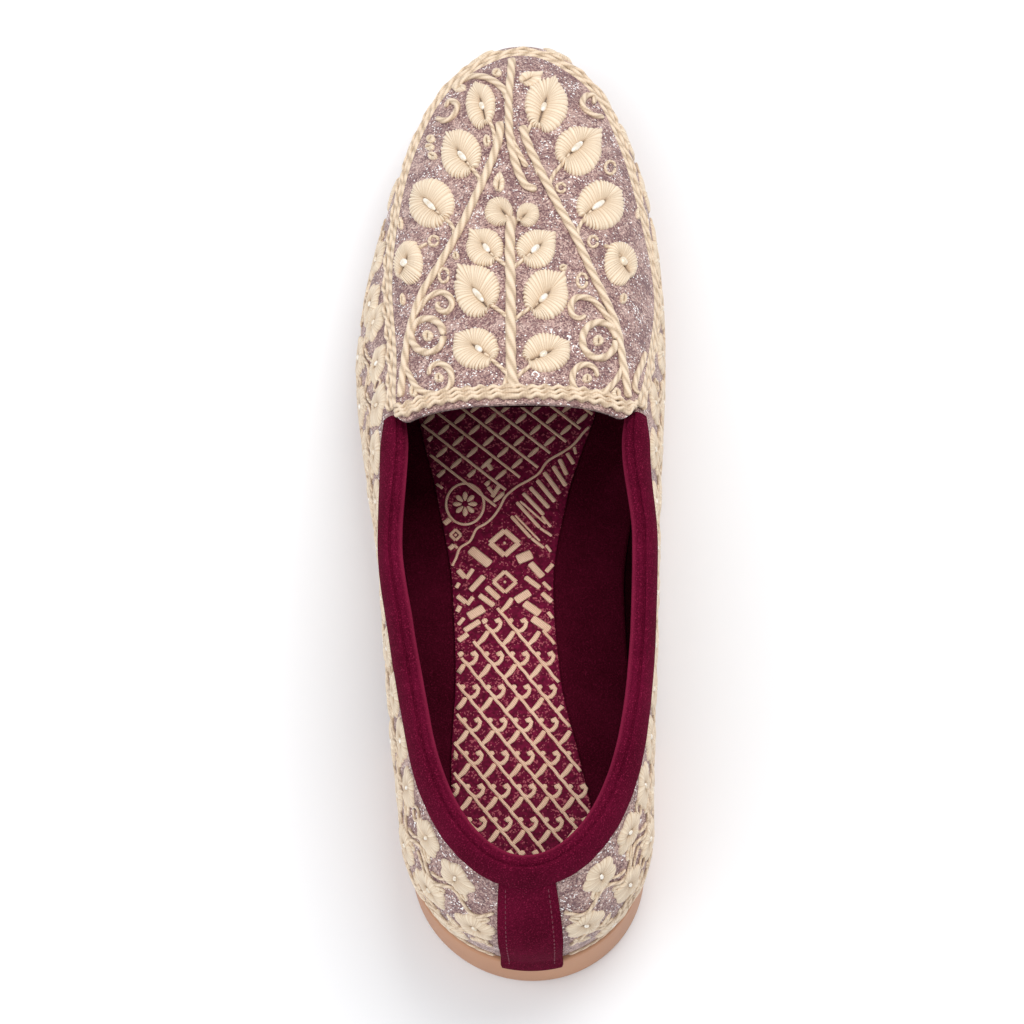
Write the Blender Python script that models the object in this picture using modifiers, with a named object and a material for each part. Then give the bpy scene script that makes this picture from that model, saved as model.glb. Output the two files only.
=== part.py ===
"""A left mojari: an embroidered slip-on of sequinned cloth on a moulded sole, built as a maker puts it together.

+Y runs from heel to toe, +X to the medial side and +Z up, in metres. The shoe stands on Z = 0, and the origin
lies under the middle of its box. Every piece is cut from one last: four lines drawn along the shoe (the feather
line on the sole, the widest line, the topline that becomes the vamp's shoulder, and the ridge), with a smooth
wall carried over them.
"""

import bmesh
import bpy
import numpy as np

# Sizes of the last
LENGTH = 0.2925
BALL_WIDTH = 0.0923
BALL_SHARE = 0.63
THROAT_SHARE = 0.532
HEEL_LIFT = 0.019
FOREFOOT_LIFT = 0.007
TOE_SPRING = 0.009
WIDEST_RISE = 0.016
TOPLINE_RISE = 0.0525
INSTEP_RISE = 0.063
TOE_OVERHANG = 0.003
HEEL_OVERHANG = 0.0015
SHOULDER_SETBACK = 0.0085
TOPLINE_LEAN = 0.0138
RIDGE_SETBACK = 0.028
HEEL_CONE_LEAN = 0.030
HEEL_ROUND = 0.033
COUNTER_ROUND = 0.0375
TOPLINE_ROUND = 0.058
TOE_POWER = 2.1
HEEL_SHIFT = 0.002
HEEL_SHIFT_REACH = 0.070

# Sizes of the pieces
CLEAR = 0.0003
WALL = 0.0024
SOLE_LIP = 0.0006
SOLE_FLARE = 0.0014
SOLE_LIP_DEPTH = 0.0025
SOLE_EDGE = 0.0015
ARCH_RISE = 0.0115
BREAST_AT = 0.074
BREAST_RUN = 0.001
INSOLE_THICKNESS = 0.004
PANEL_THICKNESS = 0.0008
PANEL_BACK = 0.014
PANEL_TOE_GAP = 0.034
PANEL_HEEL_ROUND = 0.024
APRON_THICKNESS = 0.0012
APRON_OVERHANG = 0.0015
APRON_DIP = 0.0055
APRON_CORNER = 0.0045
BRAID_WIDTH = 0.0048
BRAID_THICKNESS = 0.0015
BRAID_CROWN = 0.0005
THROAT_BRAID_WIDTH = 0.0062
THROAT_BRAID_SET = 0.0006
COLLAR_DEPTH = 0.0070
COLLAR_LEG = 0.0016
COLLAR_PAD = 0.0024
COLLAR_END_SHARE = 0.55
COLLAR_TAPER = 0.012
COLLAR_END_GAP = 0.0020
STRIP_WIDTH = 0.018
STRIP_THICKNESS = 0.0012
STRIP_LAP = 0.0009

# Columns and rows of the meshes
REAR_COLUMNS = 18
FRONT_COLUMNS = 18
WALL_ROWS = 8
VAMP_ROWS = 7
APRON_ROWS = 8

# Plan of the last: along is a share of LENGTH from the heel, and the rest are half widths on the lateral and the
# medial side, as shares of BALL_WIDTH
PLAN_COLUMNS = (
    "along", "feather_lat", "feather_med", "widest_lat", "widest_med",
    "topline_lat", "topline_med", "panel_lat", "panel_med",
)
PLAN = np.array((
    (0.00, 0.357, 0.357, 0.389, 0.399, 0.328, 0.364, 0.233, 0.219),
    (0.13, 0.357, 0.357, 0.389, 0.399, 0.328, 0.364, 0.233, 0.219),
    (0.20, 0.363, 0.363, 0.407, 0.407, 0.332, 0.368, 0.234, 0.182),
    (0.30, 0.368, 0.347, 0.431, 0.420, 0.377, 0.391, 0.221, 0.116),
    (0.40, 0.395, 0.336, 0.453, 0.431, 0.418, 0.400, 0.233, 0.095),
    (0.50, 0.444, 0.374, 0.498, 0.442, 0.402, 0.371, 0.282, 0.141),
    (0.63, 0.491, 0.420, 0.539, 0.460, 0.395, 0.372, 0.357, 0.260),
    (0.80, 0.460, 0.433, 0.505, 0.470, 0.385, 0.375, 0.357, 0.314),
    (1.00, 0.439, 0.439, 0.483, 0.483, 0.370, 0.370, 0.357, 0.325),
))

# Heights of the last at stations along it. Heel shares HEEL_LIFT with FOREFOOT_LIFT, spring is a share of
# TOE_SPRING and arch of ARCH_RISE; the widest line, the topline and the ridge stand above the feather line by
# shares of WIDEST_RISE, TOPLINE_RISE and INSTEP_RISE. Behind the throat the ridge is a guide, with no cloth on it
HEIGHT_COLUMNS = ("along", "heel", "spring", "arch", "widest", "topline", "ridge")
HEIGHTS = np.array((
    (0.00, 1.00, 0.00, 1.00, 1.06, 1.000, 1.57),
    (0.10, 1.00, 0.00, 1.00, 1.06, 0.952, 1.52),
    (0.20, 1.00, 0.00, 1.00, 1.10, 0.891, 1.43),
    (0.30, 0.82, 0.00, 0.90, 1.25, 0.870, 1.35),
    (0.40, 0.50, 0.00, 0.52, 1.30, 0.895, 1.22),
    (0.47, 0.27, 0.00, 0.20, 1.20, 0.929, 1.108),
    (0.53, 0.09, 0.00, 0.02, 1.10, 0.950, 1.000),
    (0.60, 0.00, 0.00, 0.00, 1.03, 0.853, 0.933),
    (0.65, 0.00, 0.00, 0.00, 1.00, 0.780, 0.879),
    (0.73, 0.00, 0.00, 0.00, 0.93, 0.692, 0.766),
    (0.85, 0.00, 0.27, 0.00, 0.77, 0.523, 0.565),
    (0.90, 0.00, 0.47, 0.00, 0.65, 0.435, 0.470),
    (0.97, 0.00, 0.86, 0.00, 0.46, 0.310, 0.290),
    (1.00, 0.00, 1.00, 0.00, 0.41, 0.290, 0.200),
))

# How far up the wall the apron's side edge lies, as shares of the way to the ridge; run is a share of the feather
# line's run from heel to toe
APRON_COLUMNS = ("run", "lateral", "medial")
APRON = np.array((
    (0.500, 0.612, 0.655),
    (0.532, 0.600, 0.612),
    (0.600, 0.570, 0.508),
    (0.700, 0.488, 0.405),
    (0.800, 0.423, 0.423),
    (0.880, 0.373, 0.403),
    (0.950, 0.335, 0.363),
    (1.000, 0.430, 0.430),
))

# Each line of the last: where it starts and ends along the shoe, and how long the round of its heel is
LINES = {
    "feather": (HEEL_OVERHANG, LENGTH - TOE_OVERHANG, HEEL_ROUND),
    "widest": (0.0, LENGTH, COUNTER_ROUND),
    "topline": (TOPLINE_LEAN, LENGTH - SHOULDER_SETBACK, TOPLINE_ROUND),
    "panel": (PANEL_BACK, LENGTH - PANEL_TOE_GAP, PANEL_HEEL_ROUND),
}
THROAT_AT = THROAT_SHARE * LENGTH
STEP = 1e-4


def smooth(table, columns, name, at):
    """A column of a table as a curve through its rows that never swings past them."""
    x = table[:, 0]
    y = table[:, columns.index(name)]
    run = np.diff(x)
    rise = np.diff(y) / run
    slope = np.concatenate(([rise[0]], np.zeros(len(x) - 2), [rise[-1]]))
    same = rise[:-1] * rise[1:] > 0
    before, after = np.where(same, rise[:-1], 1.0), np.where(same, rise[1:], 1.0)
    slope[1:-1] = np.where(same, 2 * before * after / (before + after), 0.0)
    at = np.clip(at, x[0], x[-1])
    i = np.clip(np.searchsorted(x, at, side="right") - 1, 0, len(run) - 1)
    s = (at - x[i]) / run[i]
    return (
        y[i] * (1 + 2 * s) * (1 - s) ** 2
        + y[i + 1] * s**2 * (3 - 2 * s)
        + run[i] * (slope[i] * s * (1 - s) ** 2 - slope[i + 1] * s**2 * (1 - s))
    )


def plan(name, at):
    return smooth(PLAN, PLAN_COLUMNS, name, at / LENGTH)


def height(name, at):
    return smooth(HEIGHTS, HEIGHT_COLUMNS, name, at / LENGTH)


def wrapped(turn):
    """A turn runs from -1 at the toe, down the lateral side, 0 at the heel, to +1 at the toe again."""
    return (np.asarray(turn, float) + 1) % 2 - 1


def run_share(turn):
    """Share of a line's run from its heel to its toe at each turn."""
    return (1 - np.cos(np.pi * np.abs(turn))) / 2


def along(line, turn):
    """How far along the shoe a line is at each turn."""
    back, front, _ = LINES[line]
    return back + (front - back) * run_share(turn)


def turn_at(line, y):
    back, front, _ = LINES[line]
    return float(np.arccos(1 - 2 * (y - back) / (front - back)) / np.pi)


def outline(line, turn):
    """Plan of one line: half widths from the table, closed by an ellipse at the heel and another at the toe."""
    turn = wrapped(turn)
    back, front, round_off = LINES[line]
    y = along(line, turn)
    half = np.where(turn < 0, plan(f"{line}_lat", y), plan(f"{line}_med", y)) * BALL_WIDTH
    heel = np.clip((y - back) / round_off, 0, 1)
    start = BALL_SHARE * LENGTH
    toe = np.clip((y - start) / (front - start), 0, 1)
    ends = np.sqrt(1 - (1 - heel) ** 2) * (1 - toe**TOE_POWER) ** (1 / TOE_POWER)
    middle = HEEL_SHIFT * np.clip(1 - y / HEEL_SHIFT_REACH, 0, 1) ** 2
    return np.stack([middle + np.sign(turn) * half * ends, y], axis=-1)


def offset_outline(line, turn, distance):
    """The plan of a line moved outwards, square to itself."""
    run = outline(line, turn + STEP) - outline(line, turn - STEP)
    run /= np.linalg.norm(run, axis=-1, keepdims=True)
    square = np.stack([run[..., 1], -run[..., 0]], axis=-1)
    return outline(line, turn) + square * np.asarray(distance)[..., None]


def feather_height(y):
    """Top of the sole."""
    heel = height("heel", y)
    return heel * HEEL_LIFT + (1 - heel) * FOREFOOT_LIFT + height("spring", y) * TOE_SPRING


def sole_bottom(y):
    """Underside of the sole: a flat heel, the breast, the arch, a flat forefoot and the toe spring."""
    past_breast = np.clip((y - BREAST_AT) / BREAST_RUN + 0.5, 0, 1)
    return past_breast * height("arch", y) * ARCH_RISE + height("spring", y) * TOE_SPRING


def ridge_height(y):
    return feather_height(y) + CLEAR + height("ridge", y) * INSTEP_RISE


def guides(turn):
    """The four points that each turn's strip of wall passes through, their slopes, and their distances along it."""
    turn = wrapped(turn)
    y = along("feather", turn)
    floor = feather_height(y) + CLEAR
    feather = np.concatenate([outline("feather", turn), floor[:, None]], axis=1)
    widest_z = floor + height("widest", y) * WIDEST_RISE
    widest = np.concatenate([outline("widest", turn), widest_z[:, None]], axis=1)
    topline_z = floor + height("topline", y) * TOPLINE_RISE
    topline = np.concatenate([outline("topline", turn), topline_z[:, None]], axis=1)
    to_toe = np.clip((y - THROAT_AT) / (along("feather", 1) - THROAT_AT), 0, 1)
    to_heel = np.clip(1 - y / THROAT_AT, 0, 1)
    ridge_y = y - RIDGE_SETBACK * to_toe**2 + HEEL_CONE_LEAN * to_heel**2
    ridge = np.stack([np.zeros_like(y), ridge_y, ridge_height(ridge_y)], axis=1)
    points = np.stack([feather, widest, topline, ridge])
    steps = np.linalg.norm(np.diff(points, axis=0), axis=2)
    chords = np.diff(points, axis=0) / steps[..., None]
    fall = (ridge_height(ridge_y + STEP) - ridge_height(ridge_y - STEP)) / (2 * STEP)
    inward = ridge[:, :2] - feather[:, :2]
    inward /= np.linalg.norm(inward, axis=1, keepdims=True)
    over = np.concatenate([inward, (inward[:, 1] * fall)[:, None]], axis=1)
    upright = np.broadcast_to([0.0, 0.0, 1.0], over.shape)
    weight = (steps[1] / (steps[1] + steps[2]))[:, None]
    shoulder = chords[1] * (1 - weight) + chords[2] * weight
    slopes = np.stack([1.5 * chords[0] - 0.5 * upright, upright, shoulder, over])
    knots = np.concatenate([np.zeros((1, len(y))), np.cumsum(steps, axis=0)])
    return points, slopes, knots


def last(turn, reach):
    """The outer face of the upper: a cubic through the guides, at a distance up from the feather line."""
    turn, reach = np.broadcast_arrays(np.asarray(turn, float), np.asarray(reach, float))
    shape = turn.shape
    turn, reach = turn.ravel(), reach.ravel()
    points, slopes, knots = guides(turn)
    i = (reach > knots[1]).astype(int) + (reach > knots[2])
    n = np.arange(len(turn))
    run = (knots[i + 1, n] - knots[i, n])[:, None]
    s = (reach - knots[i, n])[:, None] / run
    place = (
        points[i, n] * (1 + 2 * s) * (1 - s) ** 2
        + points[i + 1, n] * s**2 * (3 - 2 * s)
        + run * (slopes[i, n] * s * (1 - s) ** 2 - slopes[i + 1, n] * s**2 * (1 - s))
    )
    return place.reshape(*shape, 3)


def knot(turn, which):
    """Distance up the wall of a guide: 2 is the topline and 3 the ridge."""
    turn = np.asarray(turn, float)
    return guides(turn.ravel())[2][which].reshape(turn.shape)


def outward(turn, reach):
    """Unit normal of the last. On the ridge both sides share one, square to the ridge's own fall."""
    turn, reach = np.broadcast_arrays(np.asarray(turn, float), np.asarray(reach, float))
    top = knot(turn, 3)
    inside = np.clip(reach, STEP, top - 5 * STEP)
    across = last(turn + STEP, inside) - last(turn - STEP, inside)
    up = last(turn, inside + STEP) - last(turn, inside - STEP)
    normal = np.cross(across, up)
    y = last(turn, top)[..., 1]
    fall = (ridge_height(y + STEP) - ridge_height(y - STEP)) / (2 * STEP)
    on_ridge = np.stack([np.zeros_like(fall), -fall, np.ones_like(fall)], axis=-1)
    normal = np.where((reach > top - STEP / 10)[..., None], on_ridge, normal)
    return normal / np.linalg.norm(normal, axis=-1, keepdims=True)


def lifted(turn, reach, lift):
    """A point over the last by a lift, which may differ from point to point."""
    lift = np.broadcast_to(lift, np.broadcast(turn, reach).shape)
    return last(turn, reach) + outward(turn, reach) * lift[..., None]


def at_edge(turn, depth, out):
    """A point by the topline: depth below the wall's cut edge, and out from its outer face."""
    edge = knot(turn, 2)
    down = edge - np.maximum(depth, 0)
    up = last(turn, edge) - last(turn, edge - STEP)
    up /= np.linalg.norm(up, axis=-1, keepdims=True)
    over = np.maximum(-np.asarray(depth, float), 0)
    return lifted(turn, down, out) + up * np.broadcast_to(over, np.shape(turn))[..., None]


def material(name, colour, roughness, sheen=0.0):
    made = bpy.data.materials.new(name)
    made.use_nodes = True
    shader = made.node_tree.nodes["Principled BSDF"]
    shader.inputs["Base Color"].default_value = (*colour, 1.0)
    shader.inputs["Roughness"].default_value = roughness
    shader.inputs["Metallic"].default_value = 0.0
    shader.inputs["Sheen Weight"].default_value = sheen
    made.diffuse_color = (*colour, 1.0)
    return made


def add_object(name, build, finish):
    """A mesh object from a bmesh, with doubles merged and round faces shaded smooth."""
    bmesh.ops.remove_doubles(build, verts=build.verts, dist=1e-6)
    mesh = bpy.data.meshes.new(name)
    build.to_mesh(mesh)
    build.free()
    mesh.materials.append(finish)
    mesh.shade_smooth()
    mesh.set_sharp_from_angle(angle=np.radians(40))
    made = bpy.data.objects.new(name, mesh)
    shoe.objects.link(made)
    made.parent = origin
    return made


def add_grid(build, points, ring=False):
    """Faces over a grid of points, columns by rows; a ring joins its last row to its first."""
    corners = [[build.verts.new(point) for point in column] for column in points]
    rows = len(corners[0])
    for left, right in zip(corners, corners[1:]):
        for j in range(rows if ring else rows - 1):
            k = (j + 1) % rows
            build.faces.new((left[j], right[j], right[k], left[k]))
    return corners


def sheet(name, patches, thickness, side, finish):
    """An open surface of one or more patches, given its thickness outwards (side 1) or inwards (side -1)."""
    build = bmesh.new()
    for patch in patches:
        add_grid(build, patch)
    made = add_object(name, build, finish)
    wall = made.modifiers.new("thickness", "SOLIDIFY")
    wall.thickness = thickness
    wall.offset = side
    return made


def slab(name, line, stations, rings, finish):
    """A solid between rings stacked on one line's plan, each an offset and a height; its faces run straight across."""
    build = bmesh.new()
    turns = np.concatenate([-stations[:0:-1], stations[:-1]])
    middle = len(stations) - 1
    loops = []
    for distance, level in rings:
        flat = offset_outline(line, turns, np.full(turns.shape, distance))
        z = level(along(line, turns))
        loops.append([build.verts.new(p) for p in np.concatenate([flat, z[:, None]], axis=1)])
    count = len(turns)
    for low, high in zip(loops, loops[1:]):
        for i in range(count):
            k = (i + 1) % count
            build.faces.new((low[i], low[k], high[k], high[i]))
    for loop, turned in ((loops[0], True), (loops[-1], False)):
        for i in range(middle):
            strip = [loop[middle - i], loop[middle + i], loop[(middle + i + 1) % count], loop[middle - i - 1]]
            strip = list(dict.fromkeys(strip))
            build.faces.new(strip[::-1] if turned else strip)
    return add_object(name, build, finish)


def shoe_stations():
    """Half turns from the heel to the toe, with one on the throat's edge."""
    throat = turn_at("feather", THROAT_AT)
    rear = np.linspace(0, throat, REAR_COLUMNS + 1)
    front = np.linspace(throat, 1, FRONT_COLUMNS + 1)
    return rear, front


def make_outsole(finish):
    rear, front = shoe_stations()
    breast = [turn_at("feather", BREAST_AT + side * BREAST_RUN / 2) for side in (-1, 1)]
    near = np.abs(rear - np.mean(breast)) < 0.4 * rear[1]
    stations = np.sort(np.concatenate([rear[~near], breast, front[1:]]))
    rings = (
        (SOLE_LIP, sole_bottom),
        (SOLE_FLARE, lambda y: sole_bottom(y) + SOLE_EDGE),
        (SOLE_FLARE, lambda y: feather_height(y) - SOLE_LIP_DEPTH),
        (SOLE_LIP, feather_height),
    )
    return slab("outsole", "feather", stations, rings, finish)


def make_insole(finish):
    rear, front = shoe_stations()
    inset = -(WALL + 2 * CLEAR)
    rings = (
        (inset, lambda y: feather_height(y) + CLEAR),
        (inset, lambda y: feather_height(y) + CLEAR + INSOLE_THICKNESS),
    )
    return slab("insole", "feather", np.concatenate([rear, front[1:]]), rings, finish)


def make_sock(finish):
    rear, front = shoe_stations()
    under = INSOLE_THICKNESS + 2 * CLEAR
    rings = (
        (0.0, lambda y: feather_height(y) + under),
        (0.0, lambda y: feather_height(y) + under + PANEL_THICKNESS),
    )
    return slab("sock", "panel", np.concatenate([rear, front[1:]]), rings, finish)


def make_upper(finish):
    """The shell: a wall all round up to the topline, and the vamp closed over the front."""
    rear, front = shoe_stations()
    half = np.concatenate([rear, front[1:]])
    turns = np.concatenate([-half[::-1], half[1:]])[:, None]
    up = np.linspace(0, 1, WALL_ROWS)[None, :]
    over = np.linspace(0, 1, VAMP_ROWS + 1)[None, :]
    edge = knot(turns, 2)
    under_collar = [edge - COLLAR_DEPTH / 2, edge]
    patches = [last(turns, np.concatenate([(edge - COLLAR_DEPTH) * up, *under_collar], axis=1))]
    for side in (-front[::-1], front):
        turns = side[:, None]
        patches.append(last(turns, knot(turns, 2) + (knot(turns, 3) - knot(turns, 2)) * over))
    return sheet("upper", patches, WALL, -1, finish)


def apron_edge(turn):
    """Distance up the wall of the apron's side edge."""
    lateral = smooth(APRON, APRON_COLUMNS, "lateral", run_share(turn))
    medial = smooth(APRON, APRON_COLUMNS, "medial", run_share(turn))
    return knot(turn, 3) * np.where(turn < 0, lateral, medial)


def rear_edge(over):
    """Turn at which the apron starts behind the throat: lower at its sides, and each corner rounded."""
    throat = turn_at("feather", THROAT_AT)
    half_width = float(knot(throat, 3) - apron_edge(np.array(throat)))
    to_side = np.clip(1 - over * half_width / APRON_CORNER, 0, 1)
    drop = APRON_CORNER * (1 - np.sqrt(1 - to_side**2))
    start = THROAT_AT - APRON_OVERHANG - APRON_DIP * (1 - over) ** 2 + drop
    return np.array([turn_at("feather", y) for y in start])


def apron_patch(side, over):
    """Turns and distances over the vamp's half: from the rear edge forwards, and from the side edge to the ridge."""
    _, front = shoe_stations()
    over_cloth = np.broadcast_to(front[:, None], (len(front), len(over)))
    turns = side * np.concatenate([rear_edge(over)[None, :], over_cloth])
    edge = apron_edge(turns)
    return turns, edge + (knot(turns, 3) - edge) * over[None, :]


def oriented(patch, side):
    """A patch with its columns running the way that turns do, so that its faces point outwards."""
    return patch if side > 0 else patch[::-1]


def make_apron(finish):
    over = np.concatenate([[0, 0.03, 0.08], np.linspace(0, 1, APRON_ROWS + 1)[1:]])
    patches = []
    for side in (-1, 1):
        turns, reach = apron_patch(side, over)
        patches.append(oriented(lifted(turns, reach, CLEAR), side))
    return sheet("apron", patches, APRON_THICKNESS, 1, finish)


def make_apron_braid(finish):
    """A flat band of corded braid laid on the upper along the apron's edge, round the toe."""
    _, front = shoe_stations()
    turns = np.concatenate([-front, front[::-1][1:]])[:, None]
    across = np.array([0.0, 0.5, 1.0])[None, :]
    crown = CLEAR + BRAID_CROWN * (1 - (2 * across - 1) ** 2)
    reach = apron_edge(turns) - 2 * CLEAR - BRAID_WIDTH * (1 - across)
    points = lifted(turns, reach, crown)
    return sheet("apron_braid", [points[::-1]], BRAID_THICKNESS, 1, finish)


def make_throat_braid(finish):
    """The cords sewn side by side along the apron's rear edge, as one raised band."""
    over = np.concatenate([[0.03, 0.07], np.linspace(0, 1, APRON_ROWS + 1)[1:]])
    edge = rear_edge(over)
    length = LINES["feather"][1] - LINES["feather"][0]
    per_turn = length * np.pi / 2 * np.sin(np.pi * edge)
    first = edge + THROAT_BRAID_SET / per_turn
    second = first + THROAT_BRAID_WIDTH / per_turn
    patches = []
    for side in (-1, 1):
        share = np.array([0.0, 0.5, 1.0])[:, None]
        turns = side * (first[None, :] + (second - first)[None, :] * share)
        base = apron_edge(turns)
        reach = base + (knot(turns, 3) - base) * over[None, :]
        crown = 2 * CLEAR + APRON_THICKNESS + BRAID_CROWN * (1 - (2 * share - 1) ** 2)
        patches.append(oriented(lifted(turns, reach, crown), side))
    return sheet("throat_braid", patches, BRAID_THICKNESS, 1, finish)


def make_collar(finish):
    """The padded binding: a U section over the wall's edge, swept from one throat corner to the other."""
    rear, _ = shoe_stations()
    end = turn_at("feather", THROAT_AT - COLLAR_END_GAP)
    half = np.concatenate([rear[:-1], [end]])
    turns = np.concatenate([-half[::-1], half[1:]])
    ends = np.clip((THROAT_AT - along("feather", turns)) / COLLAR_TAPER, 0, 1)
    full = COLLAR_END_SHARE + (1 - COLLAR_END_SHARE) * ends * ends * (3 - 2 * ends)
    inner, outer = -(WALL + CLEAR), CLEAR
    # Each corner of the section: depth below the edge, where it starts from, and its shares of leg and pad
    section = (
        (COLLAR_DEPTH, outer, 0.0, 0.0),
        (COLLAR_DEPTH, outer, 0.7, 0.0),
        (0.6 * COLLAR_DEPTH, outer, 1.0, 0.0),
        (0.1 * COLLAR_DEPTH, outer, 1.0, 0.0),
        (-2 * CLEAR, outer, 0.55, 0.6),
        (-2 * CLEAR, (inner + outer) / 2, 0.0, 1.0),
        (-2 * CLEAR, inner, -0.55, 0.6),
        (0.1 * COLLAR_DEPTH, inner, -1.0, 0.0),
        (0.6 * COLLAR_DEPTH, inner, -1.0, 0.0),
        (COLLAR_DEPTH, inner, -0.7, 0.0),
        (COLLAR_DEPTH, inner, 0.0, 0.0),
        (COLLAR_DEPTH / 2, inner, 0.0, 0.0),
        (-2 * CLEAR, inner, 0.0, 0.0),
        (-2 * CLEAR, outer, 0.0, 0.0),
        (COLLAR_DEPTH / 2, outer, 0.0, 0.0),
    )
    corners = [
        at_edge(turns, depth * np.sqrt(full) - pad * COLLAR_PAD * full, start + leg * COLLAR_LEG * full)
        for depth, start, leg, pad in section
    ]
    build = bmesh.new()
    made = add_grid(build, np.stack(corners, axis=1), ring=True)
    build.faces.new(made[0])
    build.faces.new(made[-1][::-1])
    return add_object("collar", build, finish)


def make_back_strip(finish):
    """The velvet strip down the heel, from under the collar to just over the sole's top edge."""
    trial = np.linspace(0, 0.2, 81)
    half = float(np.interp(STRIP_WIDTH / 2, outline("widest", trial)[:, 0] - HEEL_SHIFT, trial))
    turns = np.linspace(-half, half, 7)[:, None]
    top = knot(turns, 2) - COLLAR_DEPTH - CLEAR
    share = np.concatenate([[0.0, 0.06], np.linspace(0.14, 1, WALL_ROWS)])[None, :]
    proud = SOLE_FLARE + CLEAR
    lift = CLEAR + (proud - CLEAR) * np.clip(1 - share / 0.14, 0, 1)
    points = lifted(turns, top * share, lift)
    foot = points[:, :1].copy()
    foot[..., 2] = feather_height(0.0) - STRIP_LAP
    return sheet("back_strip", [np.concatenate([foot, points], axis=1)], STRIP_THICKNESS, 1, finish)


for old in list(bpy.data.objects):
    bpy.data.objects.remove(old)

shoe = bpy.data.collections.new("mojari")
bpy.context.scene.collection.children.link(shoe)
origin = bpy.data.objects.new("mojari_left", None)
shoe.objects.link(origin)

cloth = material("sequin_cloth", (0.42, 0.33, 0.36), 0.55, 0.2)
cord = material("cream_cord", (0.80, 0.69, 0.54), 0.6, 0.2)
velvet = material("maroon_velvet", (0.19, 0.008, 0.035), 0.9, 0.6)
brocade = material("brocade", (0.36, 0.10, 0.10), 0.6)
rubber = material("tan_rubber", (0.62, 0.38, 0.27), 0.45)

pieces = [
    make_outsole(rubber),
    make_upper(cloth),
    make_insole(velvet),
    make_sock(brocade),
    make_apron(cloth),
    make_apron_braid(cord),
    make_throat_braid(cord),
    make_collar(velvet),
    make_back_strip(velvet),
]

# The shoe moves so that the middle of its box, seen from above, is over the origin
graph = bpy.context.evaluated_depsgraph_get()
corners = np.array([corner for piece in pieces for corner in piece.evaluated_get(graph).bound_box])
middle = (corners.min(axis=0) + corners.max(axis=0)) / 2
origin.location = (-middle[0], -middle[1], 0.0)
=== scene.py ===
"""The looks of a left mojari: an embroidered slip-on of sequinned cloth and velvet on a moulded sole.

+Y runs from heel to toe, +X to the medial side and +Z up, in metres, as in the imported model.
"""

import bmesh
import bpy
import numpy as np
from mathutils import Matrix


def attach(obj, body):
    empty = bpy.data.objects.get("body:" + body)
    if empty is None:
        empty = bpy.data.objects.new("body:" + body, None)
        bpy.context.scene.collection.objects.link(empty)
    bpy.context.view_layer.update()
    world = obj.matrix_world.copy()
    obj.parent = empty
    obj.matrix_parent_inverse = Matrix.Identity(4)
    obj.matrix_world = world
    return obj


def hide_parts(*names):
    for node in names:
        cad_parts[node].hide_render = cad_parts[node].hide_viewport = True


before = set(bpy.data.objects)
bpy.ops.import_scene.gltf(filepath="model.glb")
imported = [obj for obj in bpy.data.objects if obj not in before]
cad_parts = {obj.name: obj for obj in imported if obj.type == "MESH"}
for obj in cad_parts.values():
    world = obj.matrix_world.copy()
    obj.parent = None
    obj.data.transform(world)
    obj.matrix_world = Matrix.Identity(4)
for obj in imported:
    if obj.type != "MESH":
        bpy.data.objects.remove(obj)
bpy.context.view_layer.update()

# Lights and camera. The camera stands 1.5 m off and looks down 70 degrees at the shoe, which points away from
# it and leans a little. PX_FOCAL is its focal length on a picture 1024 px wide. It turns about its upright so
# that the shoe is in the middle. LOOKS_AT is where it looks on the floor before that turn, HEEL_X is how far
# to the left of there the heel stands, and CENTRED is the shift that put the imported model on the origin.
PICTURE = 1024
PX_FOCAL = 4924.0
DOWN = np.radians(70.0)
AWAY = 1.5
LOOKS_AT = np.array([0.0, 0.1474, 0.0])
HEEL_X = -0.0414
LEAN = np.radians(0.80)
PAN = np.arctan2(156.0, PX_FOCAL)
CENTRED = np.array([0.0035752, -0.1455174, 0.0])

turned = np.array([[np.cos(LEAN), np.sin(LEAN), 0], [-np.sin(LEAN), np.cos(LEAN), 0], [0, 0, 1.0]])
forward = turned @ np.array([0, np.cos(DOWN), -np.sin(DOWN)])
rightward = turned @ np.array([1.0, 0, 0])
upward = turned @ np.array([0, np.sin(DOWN), np.cos(DOWN)])
stands = LOOKS_AT - AWAY * np.array([0, np.cos(DOWN), -np.sin(DOWN)]) - np.array([HEEL_X, 0, 0])
eye = turned @ stands + CENTRED



def unit(vectors):
    return vectors / np.linalg.norm(vectors, axis=-1, keepdims=True)


def stand(thing, across, up, back, where):
    """Puts a camera or a lamp at a place, with its back to one way and its top to another."""
    bpy.context.scene.collection.objects.link(thing)
    put = np.eye(4)
    put[:3] = np.stack([across, up, back, where], axis=1)
    thing.matrix_world = Matrix(put)


camera = bpy.data.objects.new("camera", bpy.data.cameras.new("camera"))
aim = forward * np.cos(PAN) - rightward * np.sin(PAN)
stand(camera, rightward * np.cos(PAN) + forward * np.sin(PAN), upward, -aim, eye)
camera.data.sensor_width = 36.0
camera.data.lens = 36.0 * PX_FOCAL / PICTURE
camera.data.clip_start, camera.data.clip_end = 0.05, 20.0
bpy.context.scene.camera = camera


def area_light(name, where, size, power, colour):
    """A square soft light at a place, turned to the origin."""
    lamp = bpy.data.objects.new(name, bpy.data.lights.new(name, "AREA"))
    lamp.data.size = size
    lamp.data.energy = power
    lamp.data.color = colour
    back = unit(np.array(where))
    across = unit(np.cross([0, 1.0, 0.001], back))
    stand(lamp, across, np.cross(back, across), back, where)


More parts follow.
